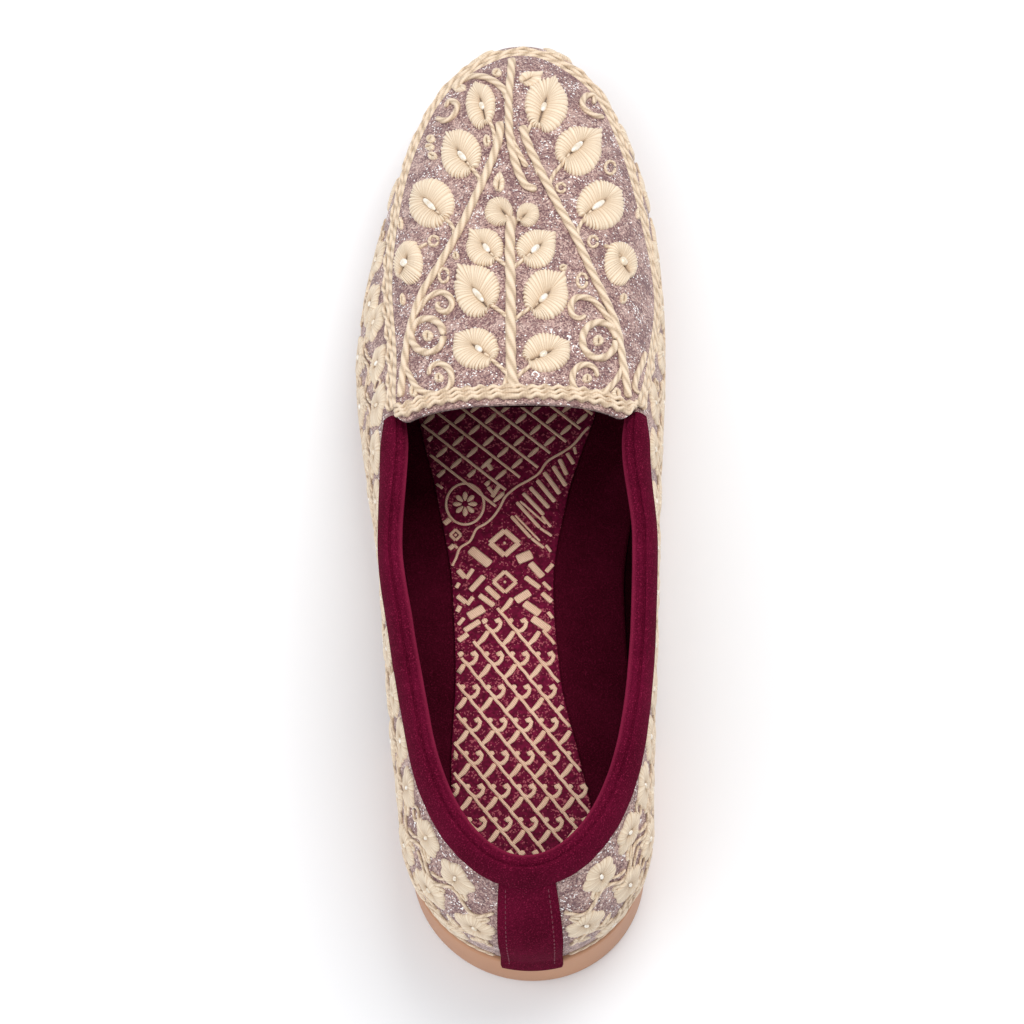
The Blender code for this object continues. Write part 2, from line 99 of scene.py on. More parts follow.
area_light("key", (0.41, 0.55, 1.21), 0.9, 10.5, (1.0, 0.985, 0.965))
area_light("fill", (-0.7, -0.5, 1.1), 1.4, 7.5, (0.96, 0.98, 1.0))
world = bpy.data.worlds.new("studio")
bpy.context.scene.world = world
world.use_nodes = True
world.node_tree.nodes["Background"].inputs["Color"].default_value = (0.975, 0.985, 1.0, 1.0)
world.node_tree.nodes["Background"].inputs["Strength"].default_value = 0.66
bpy.context.scene.view_settings.view_transform = "Standard"

# The upper: mauve cloth covered in small sequins, lasted over a form and turned in at the collar. It is drawn
# from that form, the last: four lines along the shoe with a smooth wall carried over them.
LENGTH = 0.2925
BALL_WIDTH = 0.0923
BALL_SHARE = 0.63
THROAT_AT = 0.532 * LENGTH
HEEL_LIFT, FOREFOOT_LIFT, TOE_SPRING = 0.019, 0.007, 0.009
WIDEST_RISE, TOPLINE_RISE, INSTEP_RISE = 0.016, 0.0525, 0.063
RIDGE_SETBACK, HEEL_CONE_LEAN = 0.028, 0.030
TOE_POWER = 2.1
HEEL_SHIFT, HEEL_SHIFT_REACH = 0.002, 0.070
CLEAR = 0.0003
PLAN_COLUMNS = (
    "along", "feather_lat", "feather_med", "widest_lat", "widest_med",
    "topline_lat", "topline_med", "panel_lat", "panel_med",
)
PLAN = np.array((
    (0.00, 0.357, 0.357, 0.389, 0.399, 0.328, 0.364, 0.233, 0.219),
    (0.13, 0.357, 0.357, 0.389, 0.399, 0.328, 0.364, 0.233, 0.219),
    (0.20, 0.363, 0.363, 0.407, 0.407, 0.332, 0.368, 0.234, 0.182),
    (0.30, 0.368, 0.347, 0.431, 0.420, 0.377, 0.391, 0.221, 0.116),
    (0.40, 0.395, 0.336, 0.453, 0.431, 0.418, 0.400, 0.233, 0.095),
    (0.50, 0.444, 0.374, 0.498, 0.442, 0.402, 0.371, 0.282, 0.141),
    (0.63, 0.491, 0.420, 0.539, 0.460, 0.395, 0.372, 0.357, 0.260),
    (0.80, 0.460, 0.433, 0.505, 0.470, 0.385, 0.375, 0.357, 0.314),
    (1.00, 0.439, 0.439, 0.483, 0.483, 0.370, 0.370, 0.357, 0.325),
))
HEIGHT_COLUMNS = ("along", "heel", "spring", "arch", "widest", "topline", "ridge")
HEIGHTS = np.array((
    (0.00, 1.00, 0.00, 1.00, 1.06, 1.000, 1.57),
    (0.10, 1.00, 0.00, 1.00, 1.06, 0.952, 1.52),
    (0.20, 1.00, 0.00, 1.00, 1.10, 0.891, 1.43),
    (0.30, 0.82, 0.00, 0.90, 1.25, 0.870, 1.35),
    (0.40, 0.50, 0.00, 0.52, 1.30, 0.895, 1.22),
    (0.47, 0.27, 0.00, 0.20, 1.20, 0.929, 1.108),
    (0.53, 0.09, 0.00, 0.02, 1.10, 0.950, 1.000),
    (0.60, 0.00, 0.00, 0.00, 1.03, 0.853, 0.933),
    (0.65, 0.00, 0.00, 0.00, 1.00, 0.780, 0.879),
    (0.73, 0.00, 0.00, 0.00, 0.93, 0.692, 0.766),
    (0.85, 0.00, 0.27, 0.00, 0.77, 0.523, 0.565),
    (0.90, 0.00, 0.47, 0.00, 0.65, 0.435, 0.470),
    (0.97, 0.00, 0.86, 0.00, 0.46, 0.310, 0.290),
    (1.00, 0.00, 1.00, 0.00, 0.41, 0.290, 0.200),
))
# Where each line starts and ends, and how long the round of its heel is
LINES = {
    "feather": (0.0015, LENGTH - 0.003, 0.033),
    "widest": (0.0, LENGTH, 0.0375),
    "topline": (0.0138, LENGTH - 0.0085, 0.058),
    "panel": (0.014, LENGTH - 0.034, 0.024),
}
STEP = 1e-4


def smooth(table, columns, name, at):
    """A table's column read as a cubic through its rows that never swings past them."""
    x, y = table[:, 0], table[:, columns.index(name)]
    run = np.diff(x)
    rise = np.diff(y) / run
    slope = np.concatenate(([rise[0]], np.zeros(len(x) - 2), [rise[-1]]))
    same = rise[:-1] * rise[1:] > 0
    before, after = np.where(same, rise[:-1], 1.0), np.where(same, rise[1:], 1.0)
    slope[1:-1] = np.where(same, 2 * before * after / (before + after), 0.0)
    at = np.clip(at, x[0], x[-1])
    i = np.clip(np.searchsorted(x, at, side="right") - 1, 0, len(run) - 1)
    s = (at - x[i]) / run[i]
    ends = y[i] * (1 + 2 * s) * (1 - s) ** 2 + y[i + 1] * s**2 * (3 - 2 * s)
    return ends + run[i] * (slope[i] * s * (1 - s) ** 2 - slope[i + 1] * s**2 * (1 - s))


def plan(name, at):
    return smooth(PLAN, PLAN_COLUMNS, name, at / LENGTH)


def height(name, at):
    return smooth(HEIGHTS, HEIGHT_COLUMNS, name, at / LENGTH)


def wrapped(turn):
    """A turn runs from -1 at the toe, down the lateral side, 0 at the heel, to +1 at the toe again."""
    return (np.asarray(turn, float) + 1) % 2 - 1


def run_share(turn):
    return (1 - np.cos(np.pi * np.abs(turn))) / 2


def along(line, turn):
    back, front, _ = LINES[line]
    return back + (front - back) * run_share(turn)


def turn_at(line, y):
    back, front, _ = LINES[line]
    return float(np.arccos(1 - 2 * (y - back) / (front - back)) / np.pi)


def outline(line, turn):
    """Plan of a line: half widths from the table, closed by an ellipse at the heel and another at the toe."""
    turn = wrapped(turn)
    back, front, round_off = LINES[line]
    y = along(line, turn)
    half = np.where(turn < 0, plan(f"{line}_lat", y), plan(f"{line}_med", y)) * BALL_WIDTH
    heel = np.clip((y - back) / round_off, 0, 1)
    start = BALL_SHARE * LENGTH
    toe = np.clip((y - start) / (front - start), 0, 1)
    ends = np.sqrt(1 - (1 - heel) ** 2) * (1 - toe**TOE_POWER) ** (1 / TOE_POWER)
    middle = HEEL_SHIFT * np.clip(1 - y / HEEL_SHIFT_REACH, 0, 1) ** 2
    return np.stack([middle + np.sign(turn) * half * ends, y], axis=-1)


def offset_outline(line, turn, distance):
    """The plan of a line moved outwards, square to itself."""
    run = outline(line, turn + STEP) - outline(line, turn - STEP)
    square = unit(np.stack([run[..., 1], -run[..., 0]], axis=-1))
    return outline(line, turn) + square * np.asarray(distance)[..., None]


def feather_height(y):
    heel = height("heel", y)
    return heel * HEEL_LIFT + (1 - heel) * FOREFOOT_LIFT + height("spring", y) * TOE_SPRING


def ridge_height(y):
    return feather_height(y) + CLEAR + height("ridge", y) * INSTEP_RISE


def guides(turn):
    """Four points that each turn's strip of wall passes through, their slopes and the distances to them."""
    turn = wrapped(turn)
    y = along("feather", turn)
    floor = feather_height(y) + CLEAR
    feather = np.concatenate([outline("feather", turn), floor[:, None]], axis=1)
    widest_z = floor + height("widest", y) * WIDEST_RISE
    widest = np.concatenate([outline("widest", turn), widest_z[:, None]], axis=1)
    topline_z = floor + height("topline", y) * TOPLINE_RISE
    topline = np.concatenate([outline("topline", turn), topline_z[:, None]], axis=1)
    to_toe = np.clip((y - THROAT_AT) / (along("feather", 1) - THROAT_AT), 0, 1)
    to_heel = np.clip(1 - y / THROAT_AT, 0, 1)
    ridge_y = y - RIDGE_SETBACK * to_toe**2 + HEEL_CONE_LEAN * to_heel**2
    ridge = np.stack([np.zeros_like(y), ridge_y, ridge_height(ridge_y)], axis=1)
    points = np.stack([feather, widest, topline, ridge])
    steps = np.linalg.norm(np.diff(points, axis=0), axis=2)
    chords = np.diff(points, axis=0) / steps[..., None]
    fall = (ridge_height(ridge_y + STEP) - ridge_height(ridge_y - STEP)) / (2 * STEP)
    inward = unit(ridge[:, :2] - feather[:, :2])
    over = np.concatenate([inward, (inward[:, 1] * fall)[:, None]], axis=1)
    upright = np.broadcast_to([0.0, 0.0, 1.0], over.shape)
    weight = (steps[1] / (steps[1] + steps[2]))[:, None]
    shoulder = chords[1] * (1 - weight) + chords[2] * weight
    slopes = np.stack([1.5 * chords[0] - 0.5 * upright, upright, shoulder, over])
    knots = np.concatenate([np.zeros((1, len(y))), np.cumsum(steps, axis=0)])
    return points, slopes, knots


def last(turn, reach):
    """The outer face of the upper: a cubic through the guides, at a distance up from the feather line."""
    turn, reach = np.broadcast_arrays(np.asarray(turn, float), np.asarray(reach, float))
    shape = turn.shape
    turn, reach = turn.ravel(), reach.ravel()
    points, slopes, knots = guides(turn)
    i = (reach > knots[1]).astype(int) + (reach > knots[2])
    n = np.arange(len(turn))
    run = (knots[i + 1, n] - knots[i, n])[:, None]
    s = (reach - knots[i, n])[:, None] / run
    place = points[i, n] * (1 + 2 * s) * (1 - s) ** 2 + points[i + 1, n] * s**2 * (3 - 2 * s)
    place = place + run * (slopes[i, n] * s * (1 - s) ** 2 - slopes[i + 1, n] * s**2 * (1 - s))
    return place.reshape(*shape, 3)


def knot(turn, which):
    """Distance up the wall of a guide: 2 is the topline and 3 the ridge."""
    turn = np.asarray(turn, float)
    return guides(turn.ravel())[2][which].reshape(turn.shape)


def folded(turn, reach):
    """A reach past the ridge goes down the other side."""
    top = knot(turn, 3)
    past = reach > top
    return np.where(past, -wrapped(turn), turn), np.where(past, 2 * top - reach, reach)


def outward(turn, reach):
    """Unit normal of the last; on the ridge both sides share one, square to the ridge's own fall."""
    turn, reach = np.broadcast_arrays(np.asarray(turn, float), np.asarray(reach, float))
    top = knot(turn, 3)
    inside = np.clip(reach, STEP, top - 5 * STEP)
    across = last(turn + STEP, inside) - last(turn - STEP, inside)
    up = last(turn, inside + STEP) - last(turn, inside - STEP)
    normal = np.cross(across, up)
    y = last(turn, top)[..., 1]
    fall = (ridge_height(y + STEP) - ridge_height(y - STEP)) / (2 * STEP)
    on_ridge = np.stack([np.zeros_like(fall), -fall, np.ones_like(fall)], axis=-1)
    return unit(np.where((reach > top - STEP / 10)[..., None], on_ridge, normal))


def lifted(turn, reach, lift):
    """Points over the last by a lift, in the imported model's frame."""
    turn, reach = np.broadcast_arrays(np.asarray(turn, float), np.asarray(reach, float))
    turn, reach = folded(turn, reach)
    lift = np.broadcast_to(lift, turn.shape)
    return last(turn, reach) + outward(turn, reach) * lift[..., None] + CENTRED


def piece(name, grids, look, replaces=(), closed=True, wall=None):
    """One mesh from grids of points, each rows by columns, or many such at once, with the UV of each point. A
    closed surface gets its faces turned outwards, an open sheet a wall on the side that its sign gives."""
    places, maps, faces, start = [], [], [], 0
    for points, uv in grids:
        rows, columns = points.shape[-3:-1]
        flat = points.reshape(-1, 3)
        i, j = np.meshgrid(np.arange(rows - 1), np.arange(columns - 1), indexing="ij")
        corner = (i * columns + j).ravel()
        quad = np.stack([corner, corner + columns, corner + columns + 1, corner + 1], axis=1)
        each = np.arange(len(flat) // (rows * columns))[:, None, None] * (rows * columns)
        faces.append((quad[None] + each).reshape(-1, 4) + start)
        places.append(flat)
        maps.append(np.broadcast_to(uv, (*points.shape[:-1], 2)).reshape(-1, 2))
        start += len(flat)
    places, maps, faces = np.concatenate(places), np.concatenate(maps), np.concatenate(faces)
    mesh = bpy.data.meshes.new(name)
    mesh.from_pydata(places, [], faces)
    mesh.uv_layers.new(name="UVMap").data.foreach_set("uv", maps[faces.ravel()].astype(np.float32).ravel())
    build = bmesh.new()
    build.from_mesh(mesh)
    bmesh.ops.remove_doubles(build, verts=build.verts, dist=4e-6)
    if closed:
        bmesh.ops.recalc_face_normals(build, faces=build.faces)
    build.to_mesh(mesh)
    build.free()
    mesh.shade_smooth()
    mesh.materials.append(look.material)
    made = bpy.data.objects.new(name, mesh)
    bpy.context.scene.collection.objects.link(made)
    if wall:
        solid = made.modifiers.new("wall", "SOLIDIFY")
        solid.thickness = abs(wall)
        solid.offset = np.sign(wall)
    if replaces:
        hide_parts(*replaces)
    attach(made, "root")
    return made


class Value:
    """A socket in a material. Arithmetic on it, with numbers or other sockets, adds Math nodes."""

    def __init__(self, finish, socket):
        self.finish, self.socket = finish, socket

    def math(self, operation, *others):
        return self.finish.node("Math", {"operation": operation}, dict(enumerate((self, *others))))

    def __add__(self, other):
        return self.math("ADD", other)

    def __mul__(self, other):
        return self.math("MULTIPLY", other)

    def __sub__(self, other):
        return self.math("SUBTRACT", other)

    def __rsub__(self, other):
        return self.finish.node("Math", {"operation": "SUBTRACT"}, {0: other, 1: self})

    def __gt__(self, other):
        return self.math("GREATER_THAN", other)

    __radd__, __rmul__ = __add__, __mul__


class Finish:
    """A material with its node tree; constants are set on the shader's own sockets."""

    def __init__(self, name, **constants):
        self.material = bpy.data.materials.new(name)
        self.material.use_nodes = True
        self.tree = self.material.node_tree
        self.shader = self.tree.nodes["Principled BSDF"]
        self.set(**constants)

    def put(self, socket, value):
        if isinstance(value, Value):
            self.tree.links.new(value.socket, socket)
        elif isinstance(value, tuple) and socket.type == "RGBA":
            socket.default_value = (*value[:3], 1.0)
        else:
            socket.default_value = value

    def node(self, kind, settings=(), inputs=(), out=0):
        made = self.tree.nodes.new("ShaderNode" + kind)
        for key, value in dict(settings).items():
            if key == "stops":
                while len(made.color_ramp.elements) < len(value):
                    made.color_ramp.elements.new(1.0)
                for element, (at, colour) in zip(made.color_ramp.elements, value):
                    element.position = at
                    element.color = (*colour, 1.0)
            else:
                setattr(made, key, value)
        for key, value in dict(inputs).items():
            self.put(made.inputs[key], value)
        return Value(self, made.outputs[out])

    def blend(self, share, a, b, mode="MIX"):
        return self.node("Mix", {"data_type": "RGBA", "blend_type": mode}, {0: share, 6: a, 7: b}, out=2)

    def ramp(self, share, *stops):
        return self.node("ValToRGB", {"stops": stops}, {0: share})

    def noise(self, scale, detail=2.0, roughness=0.5, where=None):
        where = where or self.node("TexCoord", out="Object")
        shape = {"Vector": where, "Scale": scale, "Detail": detail, "Roughness": roughness}
        return self.node("TexNoise", (), shape)

    def bump(self, height, strength, distance):
        made = self.node("Bump", (), {"Strength": strength, "Distance": distance, "Height": height})
        self.put(self.shader.inputs["Normal"], made)

    def set(self, **sockets):
        for key, value in sockets.items():
            self.put(self.shader.inputs[key.replace("_", " ").title().replace("Ior", "IOR")], value)


def sequin_cloth():
    """Mauve cloth under small sequins: cells of a random grey-mauve; a few are foil, painted near-white as
    glints.
    """
    cloth = Finish("sequin_cloth", sheen_weight=0.15, specular_ior_level=0.4)
    where = cloth.node("TexCoord", out="Object")
    cells = cloth.node("TexVoronoi", (), {"Vector": where, "Scale": 2500.0}, out="Color")
    spread = cloth.node("TexVoronoi", (), {"Vector": where, "Scale": 2500.0}, out="Distance")
    pick = cloth.node("SeparateColor", (), {0: cells})
    fine = cloth.noise(4200.0, 1.0)
    cloud = cloth.noise(70.0, 2.0)
    mauve = cloth.ramp(
        pick * 0.75 + fine * 0.25,
        (0.12, (0.095, 0.042, 0.048)),
        (0.38, (0.235, 0.120, 0.120)),
        (0.62, (0.485, 0.300, 0.262)),
        (0.88, (0.76, 0.59, 0.51)),
    )
    patch = cloth.noise(230.0, 2.0)
    mauve = cloth.blend((patch - 0.42) * 2.2, mauve, (0.150, 0.070, 0.078))
    mauve = cloth.blend((0.50 - patch) * 2.0, mauve, (0.62, 0.45, 0.40))
    # Painted highlight: the glint cells get a near-white base colour for light glinting off foil-like
    # sequins.
    glint = pick > 1.0 - (cloth.noise(150.0, 1.0) > 0.56) * 0.10 - cloud * 0.04
    colour = cloth.blend(glint, mauve, (0.98, 0.94, 0.92))
    cloth.set(base_color=colour, roughness=0.62 - glint * 0.34, metallic=glint * 0.35)
    cloth.bump(spread * 0.6 + pick * 0.8, 0.5, 0.0002)
    return cloth


cloth = sequin_cloth()
ROUND = np.linspace(-1, 1, 381)[:, None]
THROAT = turn_at("feather", THROAT_AT)
FRONT = np.linspace(THROAT, 1, 120)[:, None]
UP = np.linspace(0, 1, 29)[None, :]
CLOTH_WALL = 0.0012


def shell(lift):
    """The upper's face at a lift: the wall all round up to the topline, and both halves of the vamp."""
    wall = knot(ROUND, 2) * UP
    grids = [(lifted(ROUND, wall, lift), 0.0)]
    for sign in (-1, 1):
        turns = FRONT * sign
        low, high = knot(turns, 2), knot(turns, 3)
        grids.append((lifted(turns, low + (high - low) * UP, lift)[::sign], 0.0))
    return grids


piece("upper_cloth", shell(0.0), cloth, ("upper",), closed=False, wall=-CLOTH_WALL)

# The lining: maroon velvet glued inside the cloth, with its pile brushed unevenly, its colour set far darker
# as painted shade inside the shoe. The same pile, in brighter colours, binds the collar and covers the
# footbed.


def velvet(name, deep, lit, fleck_and_rim_highlight, sheen=0.03):
    """Short pile: a dark ground that the sheen lifts at its edges, with brushed patches and a few lit fibres.
    On a rolled edge, where U of the UV map passes 0.54, a narrow strip is painted brighter as a painted
    highlight."""
    tint = (0.9, 0.12, 0.26)
    pile = Finish(name, sheen_weight=sheen, sheen_roughness=0.3, sheen_tint=tint, specular_ior_level=0.02)
    brushed = pile.noise(55.0, 3.0, 0.6)
    fibre = pile.noise(2500.0, 1.0)
    patch = pile.ramp(brushed * 0.42 + fibre * 0.58, (0.36, deep), (0.66, lit))
    patch = pile.blend((fibre > 0.66) * 0.55, patch, fleck_and_rim_highlight)
    black, white = (0.0, 0.0, 0.0), (1.0, 1.0, 1.0)
    across = pile.node("SeparateXYZ", (), {0: pile.node("TexCoord", out="UV")})
    # Painted highlight: a bright strip along the collar roll, where U of its UV map passes 0.54.
    rim_highlight = pile.ramp(across, (0.47, black), (0.52, white), (0.56, white), (0.61, black))
    patch = pile.blend(rim_highlight * (0.3 + brushed * 0.5), patch, fleck_and_rim_highlight)
    pile.set(base_color=patch, roughness=0.94 - brushed * 0.10)
    pile.bump(fibre + brushed * 0.4, 0.6, 0.0004)
    return pile


LINING_GAP, LINING_WALL = 0.0001, 0.0011
LINING_SHEEN = 0.012
# Painted shade: the lining's tones are kept several times darker than the collar's, for the shade in the
# shoe.
shaded_lining = velvet("velvet_lining", (0.005, 0.0004, 0.0011), (0.020, 0.001, 0.0034), (0.045, 0.002, 0.008),
                LINING_SHEEN)
piece("upper_lining", shell(-CLOTH_WALL - LINING_GAP), shaded_lining, ("upper",), closed=False,
      wall=-LINING_WALL)

# The sole: one moulded unit in tan rubber, with a low heel, a breast, an arched waist and a little toe
# spring. Its edges are rounded, as they come from the mould.
ARCH_RISE = 0.0115
BREAST_AT, BREAST_RUN = 0.074, 0.001
SOLE_FLARE, SOLE_LIP = 0.0014, 0.0006
FOOT_ROUND, BEAD_ROUND, WALL_BULGE = 0.0015, 0.0012, 0.0002


def sole_bottom(y):
    """Underside of the sole: a flat heel, the breast, the arch, a flat forefoot and the toe spring."""
    past_breast = np.clip((y - BREAST_AT) / BREAST_RUN + 0.5, 0, 1)
    return past_breast * height("arch", y) * ARCH_RISE + height("spring", y) * TOE_SPRING


def slab(line, turns, rings):
    """A solid between rings on a line's plan, each an offset and a level; both faces run straight across."""
    loops = []
    for distance, level in rings:
        flat = offset_outline(line, turns, np.full(turns.shape, distance))
        loops.append(np.concatenate([flat, level(along(line, turns))[:, None]], axis=1) + CENTRED)
    sides = np.stack(loops, axis=1)
    half = len(turns) // 2
    share = np.linspace(0, 1, 13)[None, :, None]
    grids = [sides]
    for loop in (loops[0], loops[-1]):
        grids.append(loop[: half + 1][:, None] * (1 - share) + loop[half:][::-1][:, None] * share)
    return [(grid, grid[..., :2]) for grid in grids]


def sole_rings():
    """Rings up the sole's edge: a rounded foot, a wall that swells a little, a bead under the upper."""
    rings = []
    swell = SOLE_FLARE - SOLE_LIP
    for turn in np.linspace(0, np.pi / 2, 6):
        up = FOOT_ROUND * (1 - np.cos(turn))
        rings.append((SOLE_LIP + swell * np.sin(turn), lambda y, up=up: sole_bottom(y) + up))
    for share in np.linspace(0.1, 1, 7):
        def wall(y, share=share):
            return (sole_bottom(y) + FOOT_ROUND) * (1 - share) + (feather_height(y) - BEAD_ROUND) * share
        rings.append((SOLE_FLARE + WALL_BULGE * np.sin(np.pi * share), wall))
    for turn in np.linspace(0.3, np.pi / 2, 5):
        up = BEAD_ROUND * (np.sin(turn) - 1)
        rings.append((SOLE_LIP + swell * np.cos(turn), lambda y, up=up: feather_height(y) + up))
    return rings


def rubber():
    """Tan rubber with the soft stipple of the mould and faint scuffs in soft clouds all over."""
    tan = Finish("tan_rubber", specular_ior_level=0.45, coat_roughness=0.4)
    cloud = tan.noise(26.0, 3.0)
    stipple = tan.noise(2600.0, 2.0)
    colour = tan.ramp(cloud, (0.3, (0.43, 0.200, 0.105)), (0.75, (0.535, 0.268, 0.148)))
    tan.set(base_color=tan.blend(stipple * 0.2, colour, (0.64, 0.37, 0.225)), roughness=0.42 + cloud * 0.16)
    tan.bump(stipple, 0.18, 0.0002)
    return tan


tan = rubber()
breast = [turn_at("feather", BREAST_AT + s * BREAST_RUN / 2) for s in (-1, 1)]
half_turns = np.sort(np.concatenate([np.linspace(0, 1, 200), breast]))
whole_turns = np.concatenate([-half_turns[::-1], half_turns[1:]])
sole = piece("sole", slab("feather", whole_turns, sole_rings()), tan, ("outsole",))
sole.data.set_sharp_from_angle(angle=np.radians(38))

# The footbed: a board under maroon velvet, with a brocade panel laid down its middle.
footbed = velvet("velvet_footbed", (0.036, 0.0015, 0.006), (0.085, 0.004, 0.016), (0.14, 0.008, 0.03))
BOARD_RINGS = ((-0.0027, 0.0), (-0.0017, 0.0020), (-0.0010, 0.0031), (-0.0012, 0.0037), (-0.0022, 0.0040))
board = [(out, lambda y, up=up: feather_height(y) + CLEAR + up) for out, up in BOARD_RINGS]
piece("footbed", slab("feather", whole_turns, board), footbed, ("insole",))


def brocade_ground():
    """The panel's maroon ground: fine warp lines with gold flecks that show through in soft patches."""
    ground = Finish("brocade_ground", specular_ior_level=0.1)
    where = ground.node("TexCoord", out="Object")
    spots = ground.noise(420.0, 2.0, where=where)
    fleck = ground.node("TexVoronoi", (), {"Vector": where, "Scale": 2300.0}, out="Color")
    pick = ground.node("SeparateColor", (), {0: fleck})
    lit_pick = (pick > 0.76) * (spots > 0.50)
    base = ground.ramp(ground.noise(900.0), (0.3, (0.085, 0.002, 0.016)), (0.7, (0.215, 0.006, 0.044)))
    ground.set(base_color=ground.blend(lit_pick * 0.6, base, (0.66, 0.17, 0.20)), roughness=0.7)
    ground.bump(pick, 0.4, 0.0002)
    return ground


UNDER_PANEL = 0.0046
PANEL_RINGS = ((0.0, 0.0), (0.0, 0.0006), (-0.0003, 0.0008))
panel = [(out, lambda y, up=up: feather_height(y) + UNDER_PANEL + up) for out, up in PANEL_RINGS]
piece("footbed_panel", slab("panel", whole_turns, panel), brocade_ground(), ("sock",))

# The collar: a padded roll of maroon velvet folded over the cut edge and stitched down on both sides.
COLLAR_DEPTH, COLLAR_LEG, COLLAR_PAD = 0.0070, 0.0016, 0.0024
WALL = 0.0024
# Round the section: depth below the cut edge, padding over it, 0 at the wall's outer face and 1 at its inner
# one, and the way out from there
COLLAR_SECTION = np.array((
    (1.00, 0.00, 0.0, 0.15), (0.85, 0.00, 0.0, 0.90), (0.45, 0.00, 0.0, 1.15), (0.05, 0.00, 0.0, 1.10),
    (0.00, 0.85, 0.0, 0.75), (0.00, 1.06, 0.0, 0.25), (0.00, 0.62, 0.0, -0.12), (0.00, 1.10, 0.0, -0.50),
    (0.00, 1.28, 0.5, 0.00), (0.00, 1.20, 1.0, -0.10), (0.00, 0.95, 1.0, -0.75), (0.05, 0.00, 1.0, -1.10),
    (0.45, 0.00, 1.0, -1.15), (0.85, 0.00, 1.0, -0.90), (1.00, 0.00, 1.0, -0.15), (0.00, 0.10, 1.0, 0.00),
    (0.00, 0.10, 0.0, 0.00),
))
binding = velvet("maroon_velvet", (0.060, 0.002, 0.011), (0.138, 0.005, 0.028), (0.30, 0.022, 0.066))


def at_edge(turn, depth, out):
    """A point by the topline: depth below the wall's cut edge, and out from its outer face."""
    edge = knot(turn, 2)
    up = unit(last(turn, edge) - last(turn, edge - STEP))
    over = np.maximum(-depth, 0)
    return lifted(turn, edge - np.maximum(depth, 0), out) + up * over[..., None]


def chaikin(points, times):
    """A closed run of points with each corner cut at a quarter and three quarters of its sides."""
    for _ in range(times):
        after = np.roll(points, -1, axis=1)
        points = np.stack([0.75 * points + 0.25 * after, 0.25 * points + 0.75 * after], axis=2)
        points = points.reshape(len(points), -1, points.shape[-1])
    return points


def collar_roll():
    """The binding's section, a U with a padded top and a groove where it is stitched, carried from one throat
    corner to the other."""
    end = turn_at("feather", THROAT_AT - 0.0020)
    half = np.linspace(0, end, 110)
    turns = np.concatenate([-half[::-1], half[1:]])[:, None]
    near = np.clip((THROAT_AT - along("feather", turns)) / 0.012, 0, 1)
    full = 0.55 + 0.45 * near * near * (3 - 2 * near)
    depth, pad, inwards, leg = (column[None] for column in COLLAR_SECTION.T)
    down = COLLAR_DEPTH * depth * np.sqrt(full) - pad * COLLAR_PAD * full
    out = CLEAR - (WALL + 2 * CLEAR) * inwards + leg * COLLAR_LEG * full
    section = chaikin(np.stack([down, out], axis=-1), 3)
    puckers = 1 + 0.02 * np.sin(turns * 140) * np.sin(turns * 61 + 1)
    turns = np.broadcast_to(turns, section.shape[:2])
    roll = at_edge(turns, section[..., 0] * puckers, section[..., 1])
    roll = np.concatenate([roll, roll[:, :1]], axis=1)
    ends = [np.broadcast_to(roll[i].mean(axis=0), roll[i].shape) for i in (0, -1)]
    roll = np.concatenate([ends[0][None], roll, ends[1][None]])
    share = np.linspace(0, 1, roll.shape[1])
    return roll, np.stack([share, 0 * share], axis=-1)


collar = piece("collar_roll", [collar_roll()], binding, ("collar",))

# The heel strip: a band of the same velvet from under the collar to the sole, with a row of stitches near
# each of its edges.
STRIP_WIDTH, STRIP_THICKNESS = 0.018, 0.0012
STRIP_TUCK, STRIP_DROP = 0.0012, 0.0009
STRIP_SPREAD, STRIP_FOOT = 0.24, 0.14
trial = np.linspace(0, 0.2, 81)
strip_half = float(np.interp(STRIP_WIDTH / 2, outline("widest", trial)[:, 0] - HEEL_SHIFT, trial))


def strip_face(lift):
    """The strip's face over the cloth. It stands further off at its foot, where the sole's edge is under it,
    and widens towards its top."""
    across = np.linspace(-1, 1, 33)[:, None]
    share = np.concatenate([[0.0, 0.03], np.linspace(0.06, 1, 40)])[None, :]
    turns = across * strip_half * (1 + STRIP_SPREAD * np.clip(share - 0.3, 0, 1))
    top = knot(turns, 2) - COLLAR_DEPTH + STRIP_TUCK
    off = SOLE_FLARE * np.clip(1 - share / STRIP_FOOT, 0, 1)
    edge = np.clip((1 - np.abs(across)) * 14, 0, 1)
    points = lifted(turns, top * share, CLEAR + off + lift * (0.35 + 0.65 * np.sqrt(edge * (2 - edge))))
    foot = points[:, :1].copy()
    foot[..., 2] = feather_height(0.0) - STRIP_DROP
    return np.concatenate([foot, points], axis=1)


face, back = strip_face(STRIP_THICKNESS), strip_face(0.0)
rims = [np.stack([face[0], back[0]]), np.stack([face[-1], back[-1]]),
        np.stack([face[:, 0], back[:, 0]]), np.stack([face[:, -1], back[:, -1]])]
piece("heel_strip", [(g, 0.0) for g in (face, back, *rims)], binding, ("back_strip",))

# Its stitches: short runs of maroon thread that dip into the velvet, a little in from each edge
stitch_thread = Finish("stitch_thread", roughness=0.6, specular_ior_level=0.2)
uneven = stitch_thread.noise(900.0)
maroon = stitch_thread.ramp(uneven, (0.3, (0.12, 0.013, 0.030)), (0.7, (0.20, 0.036, 0.062)))
stitch_thread.set(base_color=maroon)
STITCH_INSET, STITCH_PITCH, STITCH_LONG, STITCH_THICK = 0.0026, 0.0021, 0.0015, 0.00022
STITCH_SUNK = 0.00005


